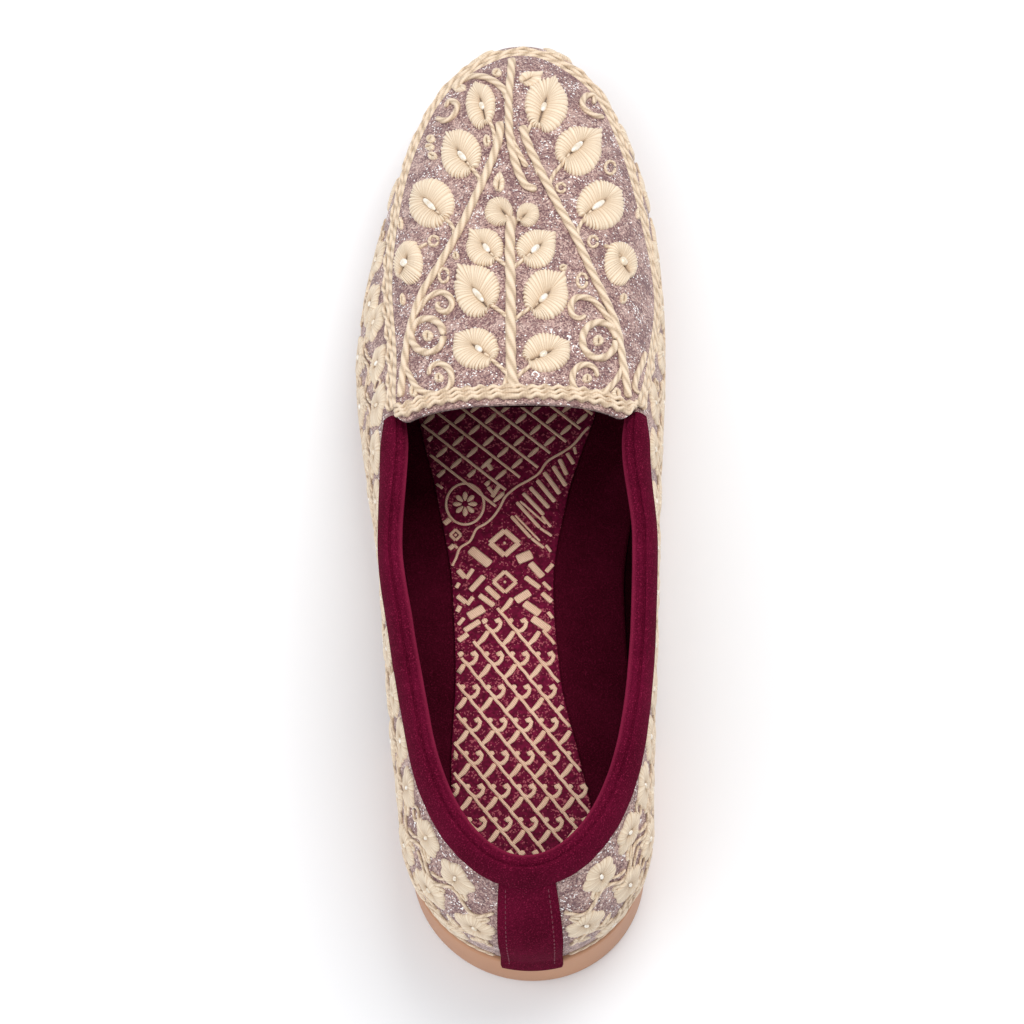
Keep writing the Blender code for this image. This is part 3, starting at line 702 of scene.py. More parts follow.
def stitches(turn_share):
    """A row of thread capsules up the strip at a share of its half width."""
    height_up = float(knot(np.array(0.0), 2)) - COLLAR_DEPTH
    begin = np.arange(0.004, height_up - 0.001, STITCH_PITCH)[:, None, None]
    along_it = np.linspace(0, 1, 7)[None, :, None]
    round_it = np.linspace(0, 2 * np.pi, 9)[None, None, :]
    thick = STITCH_THICK * np.sqrt(np.clip(1 - (2 * along_it - 1) ** 2, 0, 1))
    reach = begin + STITCH_LONG * along_it + 0 * round_it
    turn = turn_share * strip_half * (1 + STRIP_SPREAD * np.clip(reach / height_up - 0.3, 0, 1))
    off = CLEAR + STRIP_THICKNESS + SOLE_FLARE * np.clip(1 - reach / height_up / STRIP_FOOT, 0, 1)
    sideways = thick * np.cos(round_it) / (STRIP_WIDTH / 2) * strip_half
    return lifted(turn + sideways, reach, off - STITCH_SUNK + thick * np.sin(round_it))


stitch_share = 1 - 2 * STITCH_INSET / STRIP_WIDTH
rows_of_two = [(stitches(side * stitch_share), 0.0) for side in (-1, 1)]
piece("heel_strip_stitches", rows_of_two, stitch_thread)

# The apron: a second layer of the sequinned cloth over the vamp, raised on a thin foam, that reaches a little
# past the throat.
APRON_COLUMNS = ("run", "lateral", "medial")
APRON = np.array((
    (0.500, 0.612, 0.655),
    (0.532, 0.600, 0.612),
    (0.600, 0.570, 0.508),
    (0.700, 0.488, 0.405),
    (0.800, 0.423, 0.423),
    (0.880, 0.373, 0.403),
    (0.950, 0.335, 0.363),
    (1.000, 0.430, 0.430),
))
APRON_THICKNESS = 0.0012
APRON_OVERHANG, APRON_DIP, APRON_CORNER = 0.0015, 0.0055, 0.0045
ON_APRON = CLEAR + APRON_THICKNESS


def apron_edge(turn):
    lateral = smooth(APRON, APRON_COLUMNS, "lateral", run_share(turn))
    medial = smooth(APRON, APRON_COLUMNS, "medial", run_share(turn))
    return knot(turn, 3) * np.where(turn < 0, lateral, medial)


def rear_edge(over):
    """Turn at which the apron starts behind the throat: lower at its sides, and each corner rounded."""
    half_width = float(knot(THROAT, 3) - apron_edge(np.array(THROAT)))
    to_side = np.clip(1 - over * half_width / APRON_CORNER, 0, 1)
    drop = APRON_CORNER * (1 - np.sqrt(1 - to_side**2))
    start = THROAT_AT - APRON_OVERHANG - APRON_DIP * (1 - over) ** 2 + drop
    return np.array([turn_at("feather", y) for y in start])


def apron_half(side, lift):
    """Half of the apron at a lift, from its side edge to the ridge and from its rear edge to the toe."""
    over = np.concatenate([np.linspace(0, 0.06, 10), np.linspace(0.08, 1, 34)])
    share = np.linspace(0, 1, 150)[:, None] ** 1.15
    rear = rear_edge(over)[None, :]
    turns = side * (rear + (1 - rear) * share)
    edge = apron_edge(turns)
    return lifted(turns, edge + (knot(turns, 3) - edge) * over, lift)[::side]


piece("apron_cloth", [(apron_half(s, CLEAR), 0.0) for s in (-1, 1)], cloth, ("apron",),
      closed=False, wall=APRON_THICKNESS)

# The cords: cream silk, plied from two or three strands that turn round each other, and couched flat on the
# cloth. The border of the apron has one straight cord, and two beside it that wave in and out.


def silk(name, deep, mid, lit):
    """Silk thread: V of the UV map is painted light, 0 in the hollows, which get painted shade, and 1 on the
    crowns, which get a painted highlight; each 2 pi of U is one thread."""
    thread = Finish(name, sheen_weight=0.20, sheen_roughness=0.4, specular_ior_level=0.30)
    on_thread = thread.node("TexCoord", out="UV")
    ply = thread.node("SeparateXYZ", (), {0: on_thread}).math("SINE")
    painted_light = thread.node("SeparateXYZ", (), {0: on_thread}, out="Y") + ply * 0.07
    fibre = thread.noise(2400.0, 2.0)
    cloud = thread.noise(45.0, 2.0)
    shade = thread.ramp(painted_light, (0.0, deep), (0.45, mid), (1.0, lit))
    warm = thread.blend(cloud * 0.30, shade, (0.80, 0.62, 0.45), "MULTIPLY")
    thread.set(base_color=thread.blend(fibre * 0.25, warm, (0.98, 0.90, 0.78)), roughness=0.52 + fibre * 0.15)
    thread.bump(fibre + ply * 0.22, 0.55, 0.00035)
    return thread


# Its deep tone is the painted shade in the cords' hollows and undersides.
cream = silk("cream_cord", (0.47, 0.33, 0.205), (0.74, 0.57, 0.405), (0.87, 0.72, 0.55))


def distances(line):
    """How far along a run of points each one lies."""
    return np.concatenate([[0], np.cumsum(np.linalg.norm(np.diff(line, axis=0), axis=1))])


def through(points, spacing):
    """A smooth run through control points: a Catmull-Rom curve read at equal spacing."""
    points = np.asarray(points, float)
    ends = np.concatenate([[2 * points[0] - points[1]], points, [2 * points[-1] - points[-2]]])
    s = np.linspace(0, 1, 12, endpoint=False)[:, None]
    a, b, c, d = (ends[k : len(ends) - 3 + k][:, None] for k in range(4))
    curve = 0.5 * (2 * b + (c - a) * s + (2 * a - 5 * b + 4 * c - d) * s**2 + (3 * b - a - 3 * c + d) * s**3)
    curve = np.concatenate([curve.reshape(-1, points.shape[1]), points[-1:]])
    far = distances(curve)
    at = np.linspace(0, far[-1], max(4, int(round(far[-1] / spacing)) + 1))
    return np.stack([np.interp(at, far, column) for column in curve.T], axis=1)


YARN_PITCH = 0.0008


def cord(turns, reaches, lift, half_width, rise, pitch, strands=2, side=None, around=14, ply=0.085):
    """A plied cord on the last: a lobed oval carried along a run of turns and reaches, turning once a pitch,
    and closed at both ends. A side function moves its middle sideways, by the distance run."""
    centre = lifted(turns, reaches, lift)
    normal = unit(lifted(turns, reaches, lift + 0.001) - centre)
    across = unit(np.cross(unit(np.gradient(centre, axis=0)), normal))
    far = distances(centre)
    if side is not None:
        centre = centre + across * side(far)[:, None]
    half_width = np.broadcast_to(half_width, far.shape)
    near_end = np.minimum(far, far[-1] - far) / np.maximum(half_width, 1e-5)
    taper = np.sqrt(1 - (1 - np.clip(near_end, 0, 1)) ** 2)
    angle = np.linspace(0, 2 * np.pi, around + 1)[None, :]
    lobes = np.cos(strands * (angle - 2 * np.pi * far[:, None] / (pitch * strands)))
    radius = (1 + ply * lobes) * taper[:, None]
    offset_side = np.cos(angle) * half_width[:, None] * radius
    offset_up = np.sin(angle) * rise * radius * np.minimum(1, half_width / half_width.max())[:, None]
    grid = centre[:, None] + across[:, None] * offset_side[..., None] + normal[:, None] * offset_up[..., None]
    # Painted shade: V is low in the hollows between the plies and on the underside, high on the lit top.
    painted_light = np.clip(0.5 + 0.5 * lobes, 0, 1) * (0.35 + 0.65 * np.clip(np.sin(angle), 0, 1))
    thread = 2 * np.pi * far[:, None] / YARN_PITCH + angle
    return grid, np.stack([np.broadcast_to(thread, painted_light.shape), painted_light], axis=-1)


def edge_run(offset, spacing=0.0006):
    """Turns and reaches along the apron's side edge, from throat to throat round the toe, offset down the
    wall."""
    turns = np.concatenate([np.linspace(-THROAT, -1, 900), np.linspace(1, THROAT, 900)[1:]])
    reach = apron_edge(turns) - offset
    far = distances(last(turns, reach))
    at = np.linspace(0, far[-1], int(far[-1] / spacing))
    unrolled = np.where(turns > 0, turns, turns + 2)
    turns = wrapped(np.interp(at, far, unrolled))
    return turns, apron_edge(turns) - offset


# Each cord: how far down from the edge, half width, how far it waves, where in the wave it starts, and its
# pitch
BORDER_WAVE, BORDER_LIFT, BORDER_RISE = 0.0095, 0.0008, 0.0009
BORDER_CORDS = (
    (0.0009, 0.00115, 0.0001, 0.0, 0.0042),
    (0.0029, 0.00105, 0.0006, 0.0, 0.0047),
    (0.0041, 0.00075, 0.0006, 2.9, 0.0039),
)
border = []
for offset, half, wave, phase, pitch in BORDER_CORDS:
    turns, reach = edge_run(offset)
    border.append(cord(turns, reach, BORDER_LIFT, half, BORDER_RISE, pitch, around=12,
                       side=lambda far, w=wave, p=phase: w * np.sin(2 * np.pi * far / BORDER_WAVE + p)))
piece("apron_border", border, cream, ("apron_braid",))

# The throat edge: rows of waved cord sewn side by side along the apron's rear edge.


def throat_run(back_from_edge, spacing=0.0005):
    """Turns and reaches across the throat, from one corner to the other, set forward of the rear edge."""
    over = np.concatenate([np.linspace(0.012, 0.08, 30), np.linspace(0.09, 1, 120)])
    edge = rear_edge(over)
    per_turn = (LINES["feather"][1] - LINES["feather"][0]) * np.pi / 2 * np.sin(np.pi * edge)
    turn = edge + back_from_edge / per_turn
    half = apron_edge(turn) + (knot(turn, 3) - apron_edge(turn)) * over
    other = apron_edge(-turn) + (knot(turn, 3) - apron_edge(-turn)) * over
    turns = np.concatenate([-turn, turn[::-1][1:]])
    reaches = np.concatenate([other, half[::-1][1:]])
    far = distances(last(turns, reaches))
    at = np.linspace(0, far[-1], int(far[-1] / spacing))
    crossed = np.interp(at, far, np.arange(len(far))) > len(over) - 1
    return np.interp(at, far, np.abs(turns)) * np.where(crossed, 1, -1), np.interp(at, far, reaches)


THROAT_WAVE, THROAT_SWING = 0.0038, 0.00045
THROAT_LIFT, THROAT_HALF, THROAT_RISE, THROAT_PITCH = 0.0007, 0.00085, 0.0009, 0.006
rows = []
for back_off, phase in ((0.0022, 0.0), (0.0036, 0.9), (0.0051, 1.8)):
    turns, reach = throat_run(back_off)
    rows.append(cord(turns, reach, ON_APRON + THROAT_LIFT, THROAT_HALF, THROAT_RISE, THROAT_PITCH, around=10,
                     side=lambda far, p=phase: THROAT_SWING * np.sin(2 * np.pi * far / THROAT_WAVE + p)))
piece("throat_cords", rows, cream, ("throat_braid",))

# The embroidery on the apron: satin-stitched flowers over padding, each with a slit down its middle and a
# pearl in it, on two plied vines and a centre stem, with rings, curls and small leaves between them. It is
# set out in pixels of the picture, as the camera sees it on the cloth.
# Its darkest tone paints the shadow in the slits and the rib grooves.
petals = silk("petal_silk", (0.17, 0.080, 0.038), (0.63, 0.44, 0.27), (0.95, 0.82, 0.64))
PX_PER_MM = 3.28
NET_TURNS = np.linspace(-1, 1, 181)[:, None]
NET_REACHES = knot(NET_TURNS, 3) * np.linspace(0.3, 1, 26)[None, :]
net_turns = np.broadcast_to(NET_TURNS, NET_REACHES.shape).ravel()
net_reaches = NET_REACHES.ravel()
net_places = lifted(net_turns, net_reaches, ON_APRON)
net_seen = outward(net_turns, net_reaches) @ forward < -0.05
net_seen &= along("feather", net_turns) > THROAT_AT - 0.02


def sight(px):
    """The ways from the eye through places on the picture, in pixels from its top left corner."""
    px = np.asarray(px, float)
    middle = PICTURE / 2
    return unit(forward * PX_FOCAL + rightward * (px[..., :1] - middle) + upward * (middle - px[..., 1:2]))


def nearest(ways):
    """Turn and reach of the place on a coarse net over the last that each way from the eye passes closest."""
    towards = net_places[net_seen] - eye
    far = ways @ towards.T
    miss = (towards**2).sum(axis=1)[None, :] - far**2
    best = miss.argmin(axis=1)
    return net_turns[net_seen][best], net_reaches[net_seen][best]


def pressed(points, ways, turn, reach, lift):
    """Turn and reach where lines through points meet the lifted last: Newton's steps on the two distances
    across each line, from a first guess."""
    points, ways = np.broadcast_arrays(points, ways)
    turn, reach = (np.broadcast_to(v, points.shape[:-1]) for v in (turn, reach))
    one = unit(np.cross(ways, np.eye(3)[np.abs(ways).argmin(axis=-1)]))
    two = np.cross(ways, one)
    for step in range(9):
        turn, reach = folded(turn, reach)
        if step in (0, 5):
            rise = outward(turn, reach) * lift
        here = last(turn, reach)
        miss = here + rise + CENTRED - points
        by_turn = (last(turn + STEP, reach) - here) / STEP
        by_reach = (here - last(turn, reach - STEP)) / STEP
        a, b, e = ((v * one).sum(axis=-1) for v in (by_turn, by_reach, miss))
        c, d, f = ((v * two).sum(axis=-1) for v in (by_turn, by_reach, miss))
        share = a * d - b * c
        turn = turn - np.clip((d * e - b * f) / share, -0.02, 0.02)
        reach = np.maximum(reach - np.clip((a * f - c * e) / share, -0.004, 0.004), STEP)
    return folded(turn, reach)


def on_apron(px, height, centre_px):
    """Points over the apron's cloth where the camera sees them at pixels of the picture."""
    turn, reach = nearest(sight(centre_px).reshape(-1, 3))
    spread = (*np.shape(centre_px)[:-1], *([1] * (np.ndim(px) - np.ndim(centre_px))))
    turn, reach = pressed(eye, sight(px), turn.reshape(spread), reach.reshape(spread), ON_APRON)
    return lifted(turn, reach, ON_APRON + height)


RINGS_OUT = np.array([0, 0.04, 0.10, 0.2, 0.34, 0.5, 0.66, 0.8, 0.9, 0.97, 1.0, 1.0, 0.0])
RING_RISE = np.array([0.20, 0.45, 0.80, 1.0, 1.15, 1.25, 1.20, 1.02, 0.80, 0.48, 0.05, -0.2, -0.2])


def flower_form(radii, tip, pointed, bead, seed, ribs=38, each=6, teeth=0.10, lobes=0.0, slit=1.0):
    """Satin flowers in their own plane: rings run from a slit to a toothed rim, with a rib to every tooth,
    each of its own width and height. Gives places in the unit of the radii, rises as shares of the height,
    and the silk's UV map, whose V is painted shade: low in the grooves between ribs and by the slit."""
    count = len(radii)
    draw = np.random.default_rng(seed)
    psi = np.linspace(-np.pi, np.pi, ribs * each + 1)[None, :]
    phase = draw.uniform(0, 2 * np.pi, (8, count, 1))
    stitch = ribs * psi + 1.1 * np.sin(4 * psi + phase[0]) + 0.9 * np.sin(7 * psi + phase[1])
    stitch = stitch + 0.8 * np.sin(13 * psi + phase[5])
    uneven = 0.5 + 0.3 * np.sin(9 * psi + phase[6]) + 0.2 * np.sin(16 * psi + phase[7])
    rib = np.abs(np.cos(stitch / 2)) ** 0.8 * (0.5 + 0.5 * uneven) + 0.25 * (1 - uneven)
    point = pointed[:, None] * (0.20 * np.exp(-((psi / 0.30) ** 2)) + 0.12 * np.exp(-((psi / 0.10) ** 2)))
    notch = 0.13 * np.exp(-(((np.pi - np.abs(psi)) / 0.2) ** 2))
    lobe = lobes * (np.abs(np.cos(2.5 * psi + phase[2])) - 0.6)
    rim = 0.97 + point - notch + lobe + 0.02 * np.sin(3 * psi + phase[3])
    rim = rim + teeth * (rib - 0.6) * (1 + 0.5 * np.sin(3 * psi + phase[4]))
    angle = psi + tip[:, None]
    edge = np.stack([radii[:, :1] * np.cos(angle) * rim, radii[:, 1:] * np.sin(angle) * rim], axis=-1)
    axis = np.stack([radii[:, 0] * np.cos(tip), radii[:, 1] * np.sin(tip)], axis=-1)
    run = np.where(np.cos(psi) > 0, 0.34, 0.60) * np.cos(psi) * slit
    middle = bead[:, None] + axis[:, None] * run[..., None]
    out = RINGS_OUT[None, :, None, None]
    plan_places = middle[:, None] * (1 - out) + edge[:, None] * out
    shown = (np.clip(RINGS_OUT / 0.25, 0, 1) * (RING_RISE > 0))[None, :, None]
    swell = 1 + 0.10 * np.sin(2 * psi + phase[3])[:, None]
    rises = RING_RISE[None, :, None] * swell + 0.15 * (rib[:, None] - 0.6) * shown
    # Painted shade: darker by the slit and in the grooves between ribs, lighter on the rib crowns.
    inner = np.clip(RINGS_OUT / 0.13, 0, 1) * (0.62 + 0.38 * np.clip(RINGS_OUT / 0.6, 0, 1))
    painted_light = (0.42 + 0.58 * rib[:, None]) * inner[None, :, None]
    painted_light = np.broadcast_to(painted_light, rises.shape)
    return plan_places, rises, np.stack([np.broadcast_to(2 * stitch[:, None], painted_light.shape), painted_light], axis=-1)


# Middle, width, height, the tip's angle up from the right, how pointed it is, and the pearl's place and half
# length
FLOWERS_PX = np.array((
    (325, 106, 30, 46, 110, 0.5, 327, 108, 3.6), (305, 154, 41, 49, 130, 0.4, 307, 158, 6.0),
    (276, 203.5, 46, 50, 135, 0.3, 275, 206, 8.0), (253, 263, 29, 44, 60, 0.2, 250, 264, 4.2),
    (390, 106, 44, 54, 70, 0.7, 387, 109, 4.4), (422, 151, 47, 50, 40, 1.0, 420, 149, 7.2),
    (444, 206, 48, 50, 35, 0.4, 441, 207, 7.4), (464, 264, 33, 44, 125, 0.2, 465.5, 263, 4.8),
    (343, 212, 29, 29, 130, 0.2, 350, 216, 0), (372, 215, 23, 24, 40, 0.2, 366, 219, 0),
    (329, 248, 38, 38, 130, 1.0, 331, 250, 4.8), (380, 249, 40, 39, 40, 0.9, 379, 251, 5.2),
    (321, 291, 46, 53, 130, 1.0, 323, 297, 8.4), (389.5, 295, 46, 51, 45, 0.9, 387, 300, 5.4),
    (320, 349, 47, 42, 140, 0.6, 323.5, 350.5, 4.2), (390, 353, 48, 40, 30, 0.5, 387, 356, 4.2),
))
BARE = (8, 9)
FLOWER_HEIGHT, LEAF_HEIGHT = 0.00125, 0.0007


def flowers_on_apron(table, seed, tall, **form):
    middle, radii = table[:, :2], table[:, 2:4] / 2
    tip, pointed = np.radians(table[:, 4]), table[:, 5]
    bead = (table[:, 6:8] - middle) * [1, -1]
    places, rises, uv = flower_form(radii, tip, pointed, bead, seed, **form)
    px = middle[:, None, None] + places * [1, -1]
    return on_apron(px, rises * tall, middle), uv


piece("vamp_flowers", [flowers_on_apron(FLOWERS_PX, 3, FLOWER_HEIGHT)], petals)

# The small leaves and dots between them are worked in the same silk, lower; the last two numbers are the
# middle of each one's slit
LEAVES_PX = np.array((
    (343, 183, 12, 19, 80, 0.9, 343, 185), (374, 79, 23, 15, 40, 1.6, 372, 80),
    (341, 73, 10, 8, 60, 0.6, 341, 73), (258, 391, 9, 13, 80, 0.3, 258, 391),
    (460, 394, 10, 11, 100, 0.3, 460, 394), (272, 336, 11, 11, 90, 0.2, 272, 336),
    (442, 341, 11, 11, 90, 0.2, 442, 341), (283, 378, 10, 9, 90, 0.2, 283, 378),
    (431, 379, 10, 9, 90, 0.2, 431, 379), (275, 139, 9, 8, 60, 0.5, 275, 139),
    (274, 147, 9, 7, 20, 0.5, 274, 147), (277, 156, 9, 8, 330, 0.5, 277, 156),
    (245, 224, 5, 12, 90, 0.5, 245, 224), (247, 300, 5, 12, 90, 0.5, 247, 300),
    (467, 299, 7, 11, 80, 0.4, 467, 299), (303, 88, 14, 8, 30, 0.5, 303, 88),
    (331, 141, 8, 12, 100, 0.4, 331, 141), (383, 171, 9, 8, 20, 0.4, 383, 171),
    (482, 214, 5, 12, 100, 0.5, 482, 214), (300, 256, 7, 8, 100, 0.4, 300, 256),
    (407, 268, 8, 7, 30, 0.4, 407, 268),
))
small_leaves = flowers_on_apron(LEAVES_PX, 4, LEAF_HEIGHT, ribs=12, each=4)
piece("vamp_leaves", [small_leaves], petals)


def pearl_look():
    """Pale glass pearls with a soft silver skin."""
    skin = Finish("pearl", coat_weight=0.6, coat_roughness=0.1, metallic=0.15)
    tone = skin.ramp(skin.noise(420.0), (0.35, (0.78, 0.66, 0.50)), (0.6, (0.93, 0.88, 0.80)))
    skin.set(base_color=tone, roughness=0.22)
    return skin


pearl = pearl_look()


def pearl_form(half_long, half_wide, tip):
    """Blunt ovals along each tip's way: places in their plane in the unit of the halves, and rises of one."""
    down = np.linspace(0, np.pi, 9)[:, None]
    round_ = np.linspace(0, 2 * np.pi, 15)[None, :]
    wide = np.sin(down) * np.cos(round_) * half_wide
    long = np.sign(np.cos(down)) * np.abs(np.cos(down)) ** 0.75 * half_long[:, None, None] + 0 * wide
    tip = tip[:, None, None]
    x = long * np.cos(tip) - wide * np.sin(tip)
    y = long * np.sin(tip) + wide * np.cos(tip)
    return np.stack([x, y], axis=-1), np.broadcast_to(np.sin(down) * np.sin(round_), wide.shape)


has_pearl = np.delete(FLOWERS_PX, BARE, axis=0)
PEARL_HALF_PX, PEARL_SEAT, PEARL_RISE = 3.0, 0.00105, 0.0009
plan_places, rises = pearl_form(has_pearl[:, 8], PEARL_HALF_PX, np.radians(has_pearl[:, 4]))
bead_px = has_pearl[:, None, None, 6:8] + plan_places * [1, -1]
beads = on_apron(bead_px, PEARL_SEAT + rises[None] * PEARL_RISE, has_pearl[:, 6:8])
piece("vamp_pearls", [(beads, 0.0)], pearl)

# The routes of the cords, each with its half width in millimetres; the vines taper to their tips
VINES_PX = (
    (1.15, ((344, 122), (343, 140), (333, 168), (318, 201), (300, 237), (284, 265), (266, 295),
     (255, 328), (250, 356), (245, 398))),
    (1.15, ((366, 126), (372, 145), (386, 175), (402, 206), (420, 239), (435, 272), (450, 303),
     (460, 328), (465.5, 359), (472, 399))),
    (1.35, ((355, 217), (354, 250), (355, 300), (355, 350), (356, 376), (360, 391))),
    (0.7, ((352, 219), (353, 260), (352, 320), (352, 372), (346, 391))),
    (1.1, ((356, 59), (355, 75), (353, 94), (353, 118), (354, 138), (358, 158), (363, 174), (370, 186),
     (381, 191))),
    (0.95, ((353, 101), (347, 89), (337, 81), (327, 77), (316, 77), (306, 82), (299, 91))),
    (0.8, ((353, 126), (357, 142), (364, 156), (371, 168))),
)
STALKS_PX = (
    ((331, 116), (335, 124), (338, 133), (339, 146)),
    ((311, 162), (318, 171), (323, 178), (325, 188)),
    ((280, 211), (288, 217), (294, 223), (298, 230), (298, 240)),
    ((252, 261), (258, 254), (264, 247.5), (272, 244)),
    ((384, 112), (377, 123), (371, 133), (371, 144)),
    ((414, 154), (405, 166), (398, 174), (393, 186)),
    ((436, 211), (427, 221), (422, 230), (421, 241)),
    ((464, 259), (460, 253), (454, 248), (447, 246)),
    ((349, 215), (352, 219), (354, 226)),
    ((367, 218), (361, 221), (356, 229)),
    ((334, 253), (342, 260), (349, 265), (355, 271)),
    ((376, 254), (368, 260), (361, 265), (355, 272)),
    ((327, 300), (336, 306), (345, 312), (354, 320)),
    ((383, 303), (375, 308), (366, 314), (356, 322)),
    ((328, 353), (337, 361), (346, 369), (354, 378)),
    ((383, 359), (376, 365), (367, 372), (357, 381)),
)
CURLS_PX = (
    ((259, 317), (265.5, 307), (271, 299.5), (279.6, 294), (288, 293), (294.7, 298.4), (296.4, 306),
     (291.5, 312), (285, 311), (281.5, 306), (284, 302)),
    ((463, 338), (456, 325), (448, 314), (439, 303), (429, 298), (419, 299), (414.5, 306), (416, 315),
     (423, 319), (430, 316)),
    ((248, 362), (254, 376), (262, 389), (273, 394), (284, 394), (293, 388), (296, 378), (292, 368),
     (283, 364), (275, 368), (273, 376)),
    ((466, 367), (460, 380), (450, 391), (439, 396), (428, 396), (419, 390), (416, 379), (420, 369),
     (430, 365), (439, 370), (441, 378)),
    ((280, 118), (290.7, 121), (299.5, 114), (301.5, 105), (294.3, 101), (289.6, 108)),
    ((448, 118), (435, 115), (426, 106), (429, 97), (437.5, 97), (437, 105)),
    ((489, 352), (485, 365), (480, 377), (478, 389), (483, 394)),
)
RINGS_PX = (
    (1.1, 272, 336, 16, 17), (1.1, 442.5, 341, 16.5, 18), (0.5, 278, 241, 4.6, 4.8),
    (0.5, 288, 275.5, 4.8, 7), (0.5, 437, 242, 4.6, 5.4), (0.5, 426, 281, 4.8, 7),
    (0.5, 454, 168, 5, 6.5), (0.5, 405, 188, 4.4, 4.4),
)


def cord_on_apron(px, half_width, rise, pitch, strands, around, taper=1.0):
    """A cord along a route of the picture's pixels, couched on the apron's cloth."""
    route = through(px, 0.55 * PX_PER_MM)
    ways = sight(route)
    turns, reaches = pressed(eye, ways, *nearest(ways), ON_APRON)
    share = np.linspace(0, 1, len(route))
    width = half_width * (taper + (1 - taper) * np.clip(np.minimum(share, 1 - share) * 5, 0, 1))
    return cord(turns, reaches, ON_APRON + 0.45 * rise, width, rise, pitch, strands, around=around, ply=0.07)


# A couched vine is pressed flat. For each millimetre of a route's half width, in metres: half width of a vine
# and of a ring, their rise, and the pitches of their plies
VINE_WIDE, RING_WIDE, CORD_TALL, VINE_TWIST, RING_TWIST = 1.12e-3, 1e-3, 0.85e-3, 0.0050, 0.0040
couched = []
for half, px in VINES_PX:
    couched.append(cord_on_apron(px, half * VINE_WIDE, half * CORD_TALL, half * VINE_TWIST, 3, 20))
couched += [cord_on_apron(px, 0.00062, 0.0006, 0.003, 2, 12) for px in STALKS_PX]
couched += [cord_on_apron(px, 0.00098, 0.0008, 0.0046, 3, 16, 0.7) for px in CURLS_PX]
around_ring = np.radians(np.arange(0, 373, 24))
for half, x, y, wide, tall in RINGS_PX:
    px = np.stack([x + wide * np.cos(around_ring), y + tall * np.sin(around_ring)], axis=1)
    couched.append(cord_on_apron(px, half * RING_WIDE, half * CORD_TALL, half * RING_TWIST, 2, 14))
piece("vamp_cords", couched, cream)

# The embroidery on the sides and the heel: blossoms of five lobes in staggered rows, with thin vines that
# wave between the rows, stalks, leaves and rings. There are three rows where the cloth is high, and one at
# the toe. It lies lower than the apron's work, and keeps clear of the collar, the border and the sole. Shares
# run up the open cloth, and those of the rows and vines are listed by how many rows there are.
SIDE_FOOT, SIDE_HEAD = 0.0050, 0.0010
BORDER_WIDTH = 0.0050
THREE_ROWS, TWO_ROWS = 0.031, 0.019
ROW_SHARES = {3: (0.15, 0.50, 0.85), 2: (0.25, 0.75), 1: (0.5,)}
VINE_SHARES = {3: (0.325, 0.675), 2: (0.5,), 1: ()}
BLOSSOM_PITCH, BLOSSOM_LONG, BLOSSOM_HIGH, BLOSSOM_RISE = 0.0158, 0.0066, 0.0052, 0.00075
SIDE_PEARL_LONG, SIDE_PEARL_WIDE, SIDE_PEARL_SEAT, SIDE_PEARL_RISE = 0.0009, 0.00065, 0.00060, 0.0005
SIDE_LIFT, SIDE_RISE, SIDE_RING_RISE = 0.0003, 0.0005, 0.00045
VINE_START, VINE_STEP, VINE_WAVE, VINE_HALF, VINE_PITCH = 0.0108, 0.0008, 0.055, 0.0006, 0.0036
EDGE_DROP, EDGE_PITCH = 0.0022, 0.0034
STALK_HALF, STALK_PITCH, STALK_RISE = 0.00045, 0.003, 0.030
STALK_FAR = np.array([0.001, 0.0032, 0.0058, 0.0090])
STALK_SHARE = np.array([0.2, 0.55, 0.85, 1.0])
RING_RADIUS = 0.0018
LEAF_RADIUS, LEAF_LONG, LEAF_WIDE, LEAF_RISE = 0.0017, 2.0, 0.72, 0.0005


def free_reach(turn, share):
    """Reach at a share of the open cloth, between the sole and the collar or the apron's border."""
    turn = np.asarray(turn, float)
    ahead = np.clip((np.abs(turn) - THROAT) / 0.02 + 0.5, 0, 1)
    under_collar = knot(turn, 2) - COLLAR_DEPTH
    high = under_collar * (1 - ahead) + (apron_edge(turn) - BORDER_WIDTH) * ahead - SIDE_HEAD
    return SIDE_FOOT + (high - SIDE_FOOT) * share


def on_side(turn, reach, offsets, height):
    """Points over the wall's cloth from places in the plane that touches it at a turn and reach, the first
    number along the wall and the second up it."""
    spread = (len(turn), *([1] * (offsets.ndim - 2)))
    ahead = unit(lifted(turn + 20 * STEP, reach, 0.0) - lifted(turn - 20 * STEP, reach, 0.0))
    normal = outward(turn, reach)
    up = np.cross(normal, ahead).reshape(*spread, 3)
    centre = lifted(turn, reach, 0.0).reshape(*spread, 3)
    points = centre + offsets[..., :1] * ahead.reshape(*spread, 3) + offsets[..., 1:] * up
    found = pressed(points, -normal.reshape(*spread, 3), turn.reshape(spread), reach.reshape(spread), 0.0)
    return lifted(*found, height)


MEASURED_AT = 0.022
wall_turns = np.linspace(0, 1, 2001)
wall_far = distances(last(wall_turns, MEASURED_AT))
FIRST_BLOSSOM, LAST_BLOSSOM = 0.0175, float(wall_far[-1]) - 0.003


def turn_after(far):
    """Turn at a distance round the wall from the heel."""
    return np.interp(far, wall_far, wall_turns)


def rows_at(turn, sign):
    """How many rows of blossoms there is room for at each turn, and that room in metres."""
    room = free_reach(turn * sign, 1.0) - free_reach(turn * sign, 0.0)
    return np.where(room > THREE_ROWS, 3, np.where(room > TWO_ROWS, 2, 1)), room


